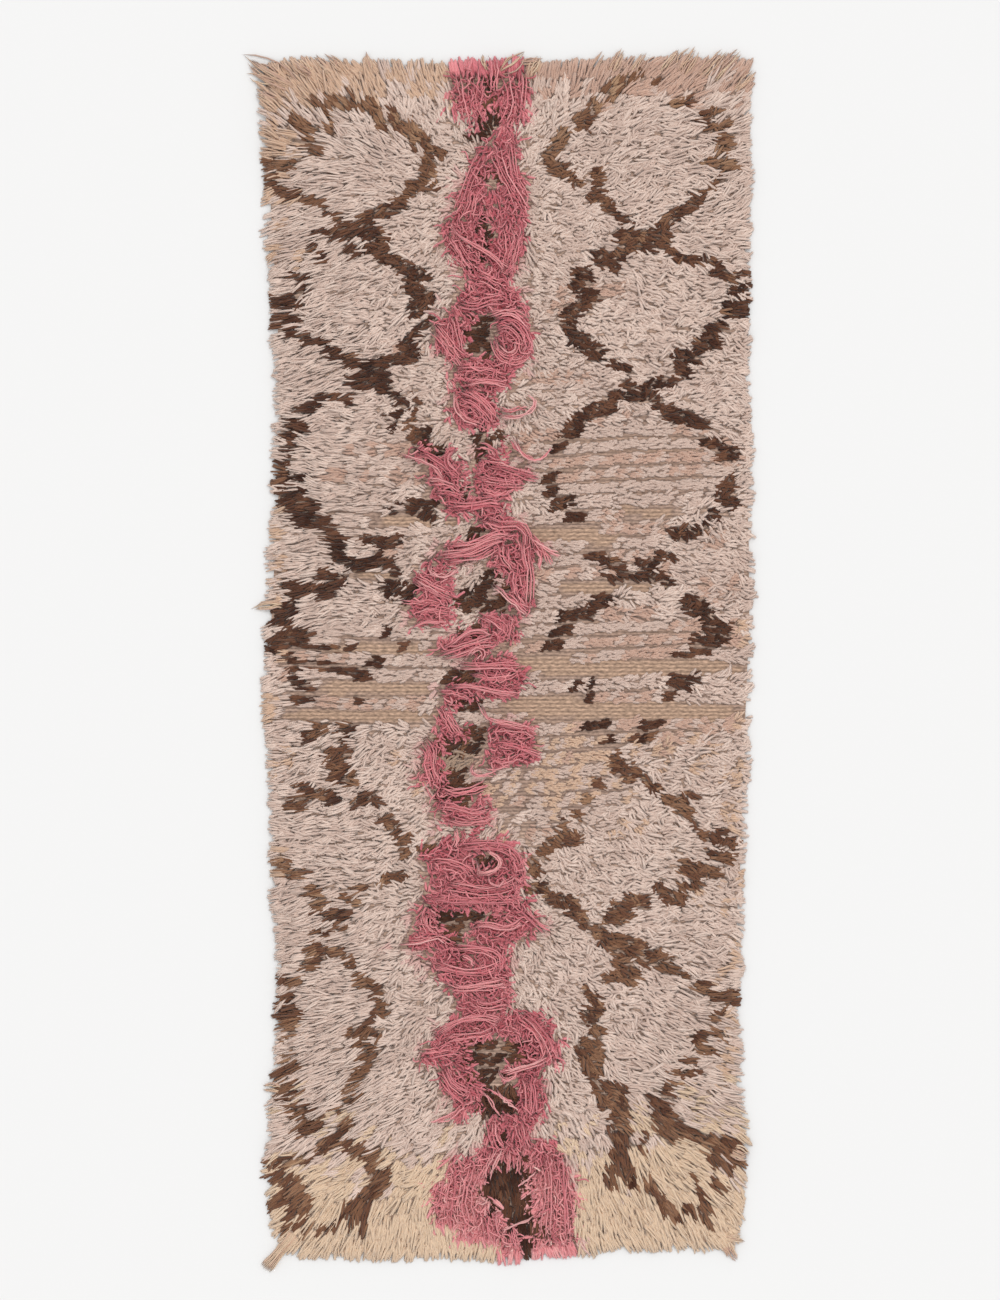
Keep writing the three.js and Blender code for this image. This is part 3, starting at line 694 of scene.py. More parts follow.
def wool_material(name, card, tip, root, strands, turns, sheen=0.2, root_shade=0.2):
    """Wool yarn: a card of shades, with painted shade towards the root and lighter at the tip. Fine
    dark lines of painted shade between its strands run along it and wind round it by so many turns."""
    made, tree, shader = new_material(name, 0.92, sheen)
    place = add(tree, "ShaderNodeUVMap", uv_map="OFBake")
    split = add(tree, "ShaderNodeSeparateXYZ", {"Vector": place.outputs["UV"]})
    u, v = split.outputs["X"], split.outputs["Y"]

    # Across the map: which place on the card, and how far round the yarn
    cell = add(tree, "ShaderNodeMath", {0: u, 1: float(SHADES * DEPTHS)}, operation="MULTIPLY")
    number = add(tree, "ShaderNodeMath", {0: cell.outputs[0]}, operation="FLOOR")
    round_it = add(tree, "ShaderNodeMath", {0: cell.outputs[0]}, operation="FRACT")
    shade = add(tree, "ShaderNodeMath", {0: number.outputs[0], 1: float(DEPTHS)}, operation="DIVIDE")
    shade_part = add(tree, "ShaderNodeMath", {
        0: shade.outputs[0], 1: 1.0 / SHADES}, operation="MULTIPLY")
    depth = add(tree, "ShaderNodeMath", {0: number.outputs[0], 1: float(DEPTHS)}, operation="MODULO")
    base = steps_ramp(tree, card, shade_part.outputs[0])

    # The depths of a shade differ by a tenth, and the grooves between strands are painted a fifth
    # darker, as shade
    lightness = add(tree, "ShaderNodeMapRange", {
        0: depth.outputs[0], 1: 0.0, 2: DEPTHS - 1.0, 3: 0.94, 4: 1.04})
    strand = add(tree, "ShaderNodeMath", {
        0: round_it.outputs[0], 1: float(strands)}, operation="MULTIPLY")
    angle = add(tree, "ShaderNodeMath", {0: v, 1: turns, 2: strand.outputs[0]}, operation="MULTIPLY_ADD")
    wave_in = add(tree, "ShaderNodeMath", {0: angle.outputs[0], 1: 2 * math.pi}, operation="MULTIPLY")
    ply = add(tree, "ShaderNodeMath", {0: wave_in.outputs[0]}, operation="SINE")
    painted_groove_shade = add(tree, "ShaderNodeMapRange", {0: ply.outputs[0], 1: -1.0, 2: 0.1, 3: 0.84, 4: 1.03})
    factor = add(tree, "ShaderNodeMath", {
        0: lightness.outputs[0], 1: painted_groove_shade.outputs[0]}, operation="MULTIPLY")

    # Up the map: bleached tips, and roots mixed towards the root colour, as painted shade deep in the
    # pile
    tipped = add(tree, "ShaderNodeMapRange", {0: v, 1: 0.6, 2: 1.0, 3: 0.0, 4: 0.25})
    bleached = add(tree, "ShaderNodeMix", {
        0: tipped.outputs[0], 6: base, 7: linear(tip)}, data_type="RGBA")
    hidden = add(tree, "ShaderNodeMapRange", {0: v, 1: 0.05, 2: 0.42, 3: root_shade, 4: 0.0})
    root_shade_mix = add(tree, "ShaderNodeMix", {
        0: hidden.outputs[0], 6: bleached.outputs[2], 7: linear(root)}, data_type="RGBA")
    colour = add(tree, "ShaderNodeVectorMath", {
        0: root_shade_mix.outputs[2], "Scale": factor.outputs[0]}, operation="SCALE")
    tree.links.new(colour.outputs[0], shader.inputs["Base Color"])
    bump = add(tree, "ShaderNodeBump", {
        "Height": ply.outputs[0], "Strength": 0.3, "Distance": PLY_DEPTH * MM})
    tree.links.new(bump.outputs["Normal"], shader.inputs["Normal"])
    return made


# %% The three wools
# Undyed sheep's wool: matt and dry. Its card has three greiges, then dull, rosy, tan, yellow cream
# and a dark tan, partly painted shade, for the natural rows sunk in the pink chain.
DULL, ROSY, TAN, YELLOW, SHADED_TAN = 3, 4, 5, 6, 7
natural_wool = wool_material(
    "undyed_cream_wool",
    ["#e1cabd", "#dbc3b6", "#d1b8ab", "#c8a593", "#d9b3aa", "#d2b198", "#dec3a8", "#a98f7b"],
    tip="#e2cdbf", root="#d2b8a8", strands=2, turns=2.5, root_shade=0.25)

# Undyed dark wool: matt dark brown, foxed to a lighter brown where the sun has reached it.
brown_wool = wool_material(
    "undyed_brown_wool",
    ["#40251a", "#4d2e21", "#5e3c2c", "#704b38", "#815b44", "#926c53", "#a17c61", "#b28f72"],
    tip="#8a6750", root="#38231b", strands=2, turns=2.5, sheen=0.1)

# Pink dyed wool, looser and finer: the dye took unevenly, so it runs from rose to pale pink.
pink_wool = wool_material(
    "pink_dyed_wool",
    ["#c86a73", "#d67b83", "#df888e", "#e69497", "#eb9ea0", "#eeaaa9", "#f1b5b2", "#f5c8bf"],
    tip="#eda5a8", root="#8a3c49", strands=2, turns=3.0, root_shade=0.5)
print("wools:", natural_wool.name, brown_wool.name, pink_wool.name)

# %% [markdown]
# ## Yarn as arrays
#
# One yarn is a thin three-sided spindle. It starts in a point in the cloth, bends over under its
# own weight, and ends in a blunt cut. Three sides are few, but the shading is smooth, and from
# above only the light along the yarn is seen. A curve object with a bevel would make the same
# yarn, though sixty thousand of them would be slow, so here the rings are worked out for all yarns
# of a piece at once.

# %% Where a yarn may reach
CLOTH_TOP = 3.4
YARN_REACH = 0.85  # a yarn's tip lies this share of its length away from its root
SPILL = 3.5  # and may reach this far past the cloth, in millimetres, or further in locks


def outside_cloth(x, y):
    """How far a point lies past the cloth's nearest edge, or below 0 inside, in millimetres."""
    return np.max([
        along(SIDES, y, 1) - x,
        x - along(SIDES, y, 2),
        y - along(ENDS, x, 1),
        along(ENDS, x, 2) - y,
    ], axis=0)


def stations(rings):
    """How far along a yarn its root, its rings and its tip are. The first ring is well up the yarn,
    since its root is hidden, and the last is near the tip, so that the yarn ends bluntly."""
    return np.concatenate([[0], np.linspace(0.44 if rings < 3 else 0.3, 0.93, rings), [1]])


def held_in(root, angle, length):
    """Trims yarns at the rim, so that they end round the rug's outline and only locks reach out."""
    tip_x = root[:, 0] + YARN_REACH * length * np.cos(angle)
    tip_y = root[:, 1] + YARN_REACH * length * np.sin(angle)
    locks = 7 * np.maximum(drift(tip_x, tip_y, 26, 61), -0.35)
    allowed = SPILL + locks + rng.normal(0, 1.6, len(length))
    too_far = np.maximum(outside_cloth(tip_x, tip_y) - allowed, 0)
    return np.maximum(length - too_far / YARN_REACH, 10)


print("the rug's middle lies", round(-float(outside_cloth(0.0, 0.0))), "mm inside its nearest edge")

# %% Bend yarns over
ROOT_DEPTH = 1.0  # a yarn's root is sunk this far into the cloth, in millimetres


def bend_over(root, angle, length, rise, fall, turn, rings, radius):
    """Paths of yarns that leave the cloth at root, rise, and bend over as they go: the root, one
    point for each ring, and the tip. rise and fall are the slopes at the root and at the tip, in
    radians, and turn is how far the yarn swings round on its way."""
    fine = 16
    path = np.zeros((len(root), fine + 1, 3))
    path[:, 0, :2] = root
    path[:, 0, 2] = CLOTH_TOP - ROOT_DEPTH
    step = length / fine
    for i in range(fine):
        t = (i + 0.5) / fine
        slope = rise + (fall - rise) * t ** 0.75
        way = angle + turn * t
        path[:, i + 1, 0] = path[:, i, 0] + step * np.cos(slope) * np.cos(way)
        path[:, i + 1, 1] = path[:, i, 1] + step * np.cos(slope) * np.sin(way)
        path[:, i + 1, 2] = path[:, i, 2] + step * np.sin(slope)
    path = path[:, np.round(stations(rings) * fine).astype(int)]

    # No yarn goes below the cloth, and past its edge each one comes down to the floor
    out = outside_cloth(path[:, 1:, 0], path[:, 1:, 1])
    sunk = np.clip((out + 6) / 22, 0, 1)
    floor = np.where(out > 0, 0, CLOTH_TOP - 0.6 * radius[:, None]) + radius[:, None]
    path[:, 1:, 2] = np.maximum(path[:, 1:, 2] * (1 - sunk) + floor * sunk, floor)
    return path


sample = bend_over(np.zeros((1, 2)), np.zeros(1), np.full(1, 36.0), 0.7, -0.2, 0.0, 2, np.full(1, 2.0))
print("a yarn 36 mm long rises to", round(float(sample[0, :, 2].max()), 1), "mm")

# %% Points and faces of a yarn
AROUND = 3


def ring_points(path, radius, roll, wide, high):
    """The points of the rings round each path, between its root and its tip."""
    run = path[:, 2:] - path[:, :-2]
    run /= np.linalg.norm(run, axis=2, keepdims=True) + 1e-9
    flat = run[:, :, :2].copy()
    upright = np.linalg.norm(flat, axis=2) < 0.02
    flat[upright] = (1.0, 0.0)
    flat /= np.linalg.norm(flat, axis=2, keepdims=True)
    side = np.stack([-flat[:, :, 1], flat[:, :, 0], np.zeros(flat.shape[:2])], axis=2)
    up = np.cross(run, side)
    points = []
    for k in range(AROUND):
        turn = roll + 2 * math.pi * k / AROUND
        offset = wide * np.cos(turn)[:, None, None] * side + high * np.sin(turn)[:, None, None] * up
        points.append(path[:, 1:-1] + offset * radius[:, :, None])
    return np.stack(points, axis=2)


def yarn_faces(rings):
    """One yarn's faces as lists of its own points, with their places on the card. Its points are
    the root, then the rings, then the tip."""
    faces, places = [], []
    v = 0.02 + 0.96 * stations(rings)
    tip = 1 + rings * AROUND
    for k in range(AROUND):
        n, lo, hi = (k + 1) % AROUND, k / AROUND, (k + 1) / AROUND
        faces.append([0, 1 + n, 1 + k])
        places.append([((lo + hi) / 2, v[0]), (hi, v[1]), (lo, v[1])])
        for r in range(rings - 1):
            a, b = 1 + r * AROUND, 1 + (r + 1) * AROUND
            faces.append([a + k, a + n, b + n, b + k])
            places.append([(lo, v[r + 1]), (hi, v[r + 1]), (hi, v[r + 2]), (lo, v[r + 2])])
        faces.append([tip - AROUND + k, tip - AROUND + n, tip])
        places.append([(lo, v[-2]), (hi, v[-2]), ((lo + hi) / 2, v[-1])])
    return faces, places


print("a yarn with 2 rings has", sum(len(face) - 2 for face in yarn_faces(2)[0]), "triangles")

# %% Join yarns into a piece
def yarn_piece(name, path, radius, card_place, material, wide=1.0, high=1.0):
    """Joins yarns into one mesh piece. path is in millimetres, radius is one for each ring, and
    wide and high flatten the yarns."""
    count, rings = len(path), path.shape[1] - 2
    points = ring_points(path, radius, math.pi / 2 + rng.normal(0, 0.3, count), wide, high)
    points = points.reshape(count, rings * AROUND, 3)
    points = np.concatenate([path[:, :1], points, path[:, -1:]], axis=1)
    faces, places = yarn_faces(rings)
    corners = np.concatenate([np.array(f) for f in faces])
    totals = np.tile([len(f) for f in faces], count)
    all_corners = (np.arange(count)[:, None] * points.shape[1] + corners[None]).ravel()
    where = np.array([p for face in places for p in face])
    uv = np.tile(where[None], (count, 1, 1))
    margin = 0.06  # keeps a yarn off its neighbours on the card
    uv[:, :, 0] = (card_place[:, None] + margin + 0.88 * uv[:, :, 0]) / (SHADES * DEPTHS)

    mesh = bpy.data.meshes.new(name)
    mesh.vertices.add(count * points.shape[1])
    mesh.vertices.foreach_set("co", (points * MM).ravel())
    mesh.loops.add(len(all_corners))
    mesh.loops.foreach_set("vertex_index", all_corners)
    mesh.polygons.add(len(totals))
    mesh.polygons.foreach_set("loop_start", np.concatenate([[0], np.cumsum(totals)[:-1]]))
    mesh.update(calc_edges=True)
    mesh.uv_layers.new(name="OFBake").data.foreach_set("uv", uv.ravel())
    mesh.shade_smooth()
    mesh.materials.append(material)
    piece = bpy.data.objects.new(name, mesh)
    bpy.context.scene.collection.objects.link(piece)
    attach(piece, "root")
    print(name, count, "yarns,", int(np.sum(totals - 2)), "triangles")
    return piece


# %% [markdown]
# ## The ground cloth
#
# Under the pile lies a weft-faced weave, about 3 mm thick. It starts as a flat grid, whose points
# are moved onto the outline, and a Solidify modifier gives it its thickness. Its ribs are 3.6 mm
# apart on the real cloth. That is too fine to model on two metres of it, and too fine to show from
# this far, so they are drawn 6.5 mm apart, as a bump and as painted shade in the grooves between
# them. A plane cut along the outline would do as well, but the grid keeps its rows of faces along
# the weft.

# %% The ground cloth's material
RIB_PITCH = 6.5  # in millimetres
RIB_HEIGHT = 1.0


def ground_material():
    """Weft-faced wool cloth: matt and ribbed. Under the pile it is painted a light tan, to lift the
    shade in the gaps between yarns. It is a dull grey brown between worn rows, and tan where it was
    woven plain."""
    made, tree, shader = new_material("weft_faced_wool_cloth", 0.95, 0.15)
    place = add(tree, "ShaderNodeTexCoord")
    streaks = add(tree, "ShaderNodeMapping", {
        "Vector": place.outputs["Object"], "Scale": (2.0, 60.0, 1.0)})
    hanks = add(tree, "ShaderNodeTexNoise", {"Vector": streaks.outputs[0], "Scale": 1.6, "Detail": 3.0})
    open_to_sky = add(tree, "ShaderNodeAttribute", attribute_name="open")
    streaked = add(tree, "ShaderNodeMath", {
        0: hanks.outputs["Fac"], 1: 0.5, 2: open_to_sky.outputs["Fac"]}, operation="MULTIPLY_ADD")
    # Under the pile a light tan, painted to lift the shade in the gaps; grey brown when worn; tan when
    # plain
    base = add(tree, "ShaderNodeValToRGB", {"Fac": streaked.outputs[0]})
    stops = base.color_ramp.elements
    stops[0].position, stops[0].color = 0.2, linear("#c2a593")
    stops[1].position, stops[1].color = 1.0, linear("#b99a84")
    middle = stops.new(0.6)
    middle.color = linear("#a3897b")

    # A wave texture at scale 1 has a band every 2 pi / 20 units, so this gives one for each rib
    ribs = add(tree, "ShaderNodeTexWave", {
        "Vector": place.outputs["Object"], "Scale": 2 * math.pi / (20 * RIB_PITCH * MM),
        "Distortion": 1.2, "Detail": 2.0, "Detail Scale": 1.5}, bands_direction="Y", wave_profile="SIN")

    # Spun weft has slubs about 8 mm long and 3 mm wide
    grain_map = add(tree, "ShaderNodeMapping", {
        "Vector": place.outputs["Object"], "Scale": (130.0, 300.0, 1.0)})
    grain = add(tree, "ShaderNodeTexNoise", {
        "Vector": grain_map.outputs[0], "Scale": 1.0, "Detail": 2.0})
    # Painted shade: the grooves between the ribs are up to a third darker. The slubs are the weft's own
    # colour
    shade = add(tree, "ShaderNodeMapRange", {0: ribs.outputs["Fac"], 1: 0.0, 2: 0.7, 3: 0.64, 4: 1.04})
    speckle = add(tree, "ShaderNodeMapRange", {0: grain.outputs["Fac"], 1: 0.3, 2: 0.7, 3: 0.55, 4: 1.3})
    factor = add(tree, "ShaderNodeMath", {
        0: shade.outputs[0], 1: speckle.outputs[0]}, operation="MULTIPLY")
    colour = add(tree, "ShaderNodeVectorMath", {
        0: base.outputs["Color"], "Scale": factor.outputs[0]}, operation="SCALE")
    tree.links.new(colour.outputs[0], shader.inputs["Base Color"])
    height = add(tree, "ShaderNodeMath", {
        0: grain.outputs["Fac"], 1: 0.6, 2: ribs.outputs["Fac"]}, operation="MULTIPLY_ADD")
    bump = add(tree, "ShaderNodeBump", {
        "Height": height.outputs[0], "Strength": 0.8, "Distance": RIB_HEIGHT * MM})
    tree.links.new(bump.outputs["Normal"], shader.inputs["Normal"])
    return made


ground_wool = ground_material()
print(ground_wool.name, "has", len(ground_wool.node_tree.nodes), "nodes")

# %% Make the ground cloth
CLOTH_THICK = 3.2
CLOTH_INSET = 6  # the knots' yarns hide the cloth's edge, so it ends this far inside the outline
HALF_WIDTH = 390
BAND_OPEN, WORN_OPEN = 0.8, 0.45  # how open the ground lies in a plain band, and in worn pile


def ground_cloth():
    """The woven cloth: a flat grid, fitted to the outline and given its thickness."""
    bpy.ops.object.select_all(action="DESELECT")
    bpy.ops.mesh.primitive_grid_add(x_subdivisions=60, y_subdivisions=240, size=2, location=(0, 0, 0))
    cloth = bpy.context.object
    cloth.name = cloth.data.name = "ground_cloth"
    for point in cloth.data.vertices:
        flat_x = HALF_WIDTH * point.co.x
        far, near = along(ENDS, flat_x, 1) - CLOTH_INSET, along(ENDS, flat_x, 2) + CLOTH_INSET
        y = near + (far - near) * (point.co.y + 1) / 2
        left, right = along(SIDES, y, 1) + CLOTH_INSET, along(SIDES, y, 2) - CLOTH_INSET
        x = left + (right - left) * (point.co.x + 1) / 2
        point.co = (x * MM, y * MM, (CLOTH_TOP - CLOTH_THICK) * MM)
    bpy.ops.object.mode_set(mode="EDIT")
    bpy.ops.mesh.select_all(action="SELECT")
    bpy.ops.mesh.normals_make_consistent(inside=False)
    bpy.ops.object.mode_set(mode="OBJECT")
    wall = cloth.modifiers.new("thickness", "SOLIDIFY")
    wall.thickness = CLOTH_THICK * MM
    wall.offset = 1.0
    bpy.ops.object.modifier_apply(modifier=wall.name)
    spots = np.array([point.co[:2] for point in cloth.data.vertices]) / MM
    plain = in_band(spots[:, 0], spots[:, 1])
    how_open = np.where(plain, BAND_OPEN, WORN_OPEN * bareness(spots[:, 0], spots[:, 1]))
    cloth.data.attributes.new("open", "FLOAT", "POINT").data.foreach_set("value", how_open)
    cloth.data.materials.append(ground_wool)
    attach(cloth, "root")
    return cloth


ground = ground_cloth()
print("ground cloth:", [round(v / MM) for v in ground.dimensions], "mm")

# %% [markdown]
# ## Natural and brown pile
#
# Each tuft opens into its yarns. Where the pile is long the yarns rise a little and then lie down,
# and where it is short or worn they rise steeply and curl over, like grains. The chart's wool
# decides the card. On the natural wool, some places of the rug lean to another shade: the far end
# and the left side are tan, the near end is yellow cream, and beside the chain the dye has run.

# %% Shades of the natural wool, by place
SHADE_ZONES = np.array([  # shade on the card, x, y, half across, half along, share of the tufts
    (TAN, -330, 945, 170, 45, 1.2),
    (TAN, -120, 960, 150, 30, 1.0),
    (DULL, 250, 955, 240, 36, 1.3),
    (TAN, -385, 0, 30, 700, 0.7),
    (TAN, -370, 800, 40, 160, 0.9),
    (TAN, 400, -500, 45, 480, 0.5),
    (YELLOW, 0, -975, 560, 120, 2.2),
    (YELLOW, -300, -860, 130, 70, 1.0),
    (YELLOW, 300, -850, 130, 100, 1.1),
    (YELLOW, 60, -860, 260, 70, 1.2),
    (TAN, 100, -180, 160, 70, 0.5),
    (TAN, -390, 50, 26, 110, 1.2),
])
DYE_RUN = 14  # the pink has run this far into the natural wool, in millimetres


def natural_shades(x, y):
    """A shade on the card for each tuft of natural wool."""
    shade = rng.choice(3, len(x), p=(0.3, 0.45, 0.25))
    for number, cx, cy, across_half, along_half, share in SHADE_ZONES:
        near = np.exp(-((x - cx) / across_half) ** 2 - ((y - cy) / along_half) ** 2)
        shade[rng.uniform(0, 1, len(x)) < share * near] = int(number)
    around = ((DYE_RUN, 0), (-DYE_RUN, 0), (0, DYE_RUN), (0, -DYE_RUN))
    beside_pink = np.mean([in_any(x + dx, y + dy, PINK_SHAPES) for dx, dy in around], axis=0)
    shade[rng.uniform(0, 1, len(x)) < 0.8 * beside_pink] = ROSY
    return shade


print(len(SHADE_ZONES), "places lean to another shade")

# %% Open the knots into locks of yarn
YARNS = 6
LOCK_APART = 5.8  # a knot's two locks lie this far on either side of its row, in millimetres
LOCK_HALF = 4.6  # half of a lock's width


def open_knots(pick, thick):
    """Opens each picked knot into two locks, and each lock into YARNS yarns side by side. Worn pile
    keeps closer to its row. Gives named columns with a value for each yarn."""
    # Two locks for each knot
    knot = np.repeat(np.flatnonzero(pick), 2)
    locks = len(knot)
    bare, lying, long = knot_bare[knot], knot_lying[knot], knot_length[knot]
    end = np.tile((-1.0, 1.0), locks // 2)
    x = knot_x[knot] + 3.0 * end + rng.normal(0, 1.4, locks)
    y = knot_y[knot] + (LOCK_APART - 0.8 * (1 - lying) - 1.2 * bare) * end
    y = y + rng.normal(0, 1, locks) * (0.8 - 0.5 * bare)
    aim = knot_heading[knot]
    aim = np.arctan2(np.sin(aim) + 0.35 * end * (1 - bare) * (1 - lying), np.cos(aim))
    aim = aim + rng.normal(0, 1, locks) * (0.2 - 0.12 * lying) * (1 - 0.7 * bare)
    long = long * (1 + rng.normal(0, 0.12, locks)) * (1 - 0.25 * bare)

    # Towards both ends of the rug the pile is combed flat, and its yarns fluff out
    combed = soft_step(-y, 700, 880) + soft_step(y, 840, 950)
    rise = np.radians(60 - 22 * lying - 10 * bare - 12 * combed) + rng.normal(0, 0.1, locks)
    turn = (0.3 * drift(x, y, 60, 41) + rng.normal(0, 0.15, locks)) * (1 - 0.7 * bare)
    deep = rng.uniform(0, 1, locks)

    # The yarns of each lock, in lanes side by side
    knot, x, y, long, aim, rise, turn, deep = (
        np.repeat(v, YARNS) for v in (knot, x, y, long, aim, rise, turn, deep))
    bare, lying, n = knot_bare[knot], knot_lying[knot], len(knot)
    lane = np.tile(np.linspace(-1, 1, YARNS), locks) + rng.normal(0, 0.2, n)
    column = np.tile((-1.0, 1.0), n // 2)
    spread = (LOCK_HALF - 2.0 * bare) * lane
    slip = rng.normal(0, 1.2, n) + 3.0 * column * (1 - lying)
    root = np.stack([
        x - spread * np.sin(aim) + slip * np.cos(aim),
        y + spread * np.cos(aim) + slip * np.sin(aim)], axis=1)
    angle = aim - 0.05 * lane + rng.normal(0, 1, n) * (0.32 - 0.22 * lying) * (1 - 0.5 * bare)
    fall = np.radians(-14 - 28 * (1 - lying)) + rng.normal(0, 0.2, n) * (1 - lying)
    long = long * (1 - (0.2 - 0.1 * lying) * lane ** 2 + rng.normal(0, 0.09, n))
    length = held_in(root, angle, long)
    rise = rise * (1 - 0.12 * lane ** 2) + rng.normal(0, 0.1, n)
    radius = thick * (1 + rng.normal(0, 0.08, n))
    radius = radius * (1.05 + 0.3 * (1 - lying) + 0.42 * np.repeat(combed, YARNS))
    deep = np.minimum(((0.7 * deep + 0.3 * rng.uniform(0, 1, n)) * DEPTHS).astype(int), DEPTHS - 1)
    return dict(knot=knot, root=root, angle=angle, length=length, rise=rise, fall=fall, turn=turn,
                radius=radius, deep=deep)


print("a knot opens into", 2 * YARNS, "yarns")

# %% Lay yarns on the cloth
WIDE, HIGH = 1.2, 0.75  # soft yarn that lies down is pressed a little flat


def lay_yarns(name, yarns, chosen, rings, knot_shade, material):
    """The chosen yarns as one piece. knot_shade has a shade on the card for every knot."""
    columns = (values[chosen] for values in yarns.values())
    knot, root, angle, length, rise, fall, turn, radius, deep = columns
    path = bend_over(root, angle, length, rise, fall, turn, rings, radius)
    blunt, pointed = np.linspace(1.0, 0.9, rings), np.linspace(1.0, 0.6, rings)
    taper = blunt + (pointed - blunt) * knot_lying[knot][:, None]
    place = knot_shade[knot] * DEPTHS + deep
    return yarn_piece(name, path, radius[:, None] * taper, place, material, WIDE, HIGH)


print("a yarn is", round(HIGH / WIDE, 2), "times as high as it is wide")

# %% Read the chart where each yarn shows
PILE_RADIUS = 1.85  # in millimetres, coarser than the wool's own
yarns = open_knots((wool == CHARTED) | (wool == NATURAL) | (wool == BROWN), PILE_RADIUS)

# What shows of a yarn is its top, which lies further out where the pile lies down
reach = yarns["length"] * (0.35 + 0.27 * knot_lying[yarns["knot"]])
yarn_x = yarns["root"][:, 0] + reach * np.cos(yarns["angle"])
yarn_y = yarns["root"][:, 1] + reach * np.sin(yarns["angle"])
charted = wool[yarns["knot"]]
on_line = drawn_lines(yarn_x, yarn_y) + 2.5 * drift(yarn_x, yarn_y, 12, 31) > 0
is_brown = (charted == BROWN) | ((charted == CHARTED) & on_line)
print(len(is_brown), "yarns,", int(np.sum(is_brown)), "of them brown")

# %% Wear of the natural wool
natural_shade = natural_shades(knot_x, knot_y)
GREYEST = 2
natural_shade[(natural_shade < GREYEST) & (rng.uniform(0, 1, len(knot_x)) < knot_bare)] = GREYEST

# In the worn places whole rows are dull, and the rows between them are not
dull_row = (knot_bare > 0.3) & (drift(0.15 * knot_x, 37.0 * knot_row, 30, 51) > 0.1)
natural_shade[dull_row & (rng.uniform(0, 1, len(knot_x)) < 0.65) & (natural_shade < DULL)] = DULL
# The natural rows inside the chain take the dark tan: tan wool with painted shade from the long pink
natural_shade[wool == NATURAL] = SHADED_TAN
print(int(np.sum(natural_shade == DULL)), "dull tufts")

# %% Tie the natural pile, in stretches of the rug
STRETCHES = [  # name, from y, to y, rings on each yarn: more where the pile is long
    ("near_end", -1100, -640, 3),
    ("near_quarter", -640, -250, 2),
    ("middle", -250, 200, 2),
    ("far_quarter", 200, 640, 2),
    ("far_end", 640, 1100, 3),
]
pile = []
yarn_from = knot_y[yarns["knot"]]
for stretch, start, stop, rings in STRETCHES:
    here = (yarn_from >= start) & (yarn_from < stop) & ~is_brown
    pile.append(lay_yarns(
        "cream_pile_" + stretch, yarns, here, rings, natural_shade, natural_wool))

# %% Tie the brown pile
# The sun has faded the brown lines towards both ends, but not the hearts, which long pink covers
faded = soft_step(np.abs(knot_y - 300), 200, 600) * 2.2 + 0.8 * soft_step(knot_y, 700, 850)
faded = faded * (wool != BROWN)
brown_shade = faded + rng.normal(2.1, 1.0, len(knot_y)) - 0.1 * (wool == BROWN)
brown_shade = np.clip(brown_shade, 0, SHADES - 1).astype(int)
pile.append(lay_yarns("brown_pile", yarns, is_brown, 2, brown_shade, brown_wool))

# %% [markdown]
# ## The pink chain
#
# The pink tufts are longer than the rest, and their yarn is finer and softer, so they don't fan
# out. They lie in waves and curl back in swirls. Those swirls are what one remembers of this rug,
# so they are charted too, as strokes: each is a bunch of yarns that lies along a line. The rest of
# the pink then follows whichever stroke is nearest.

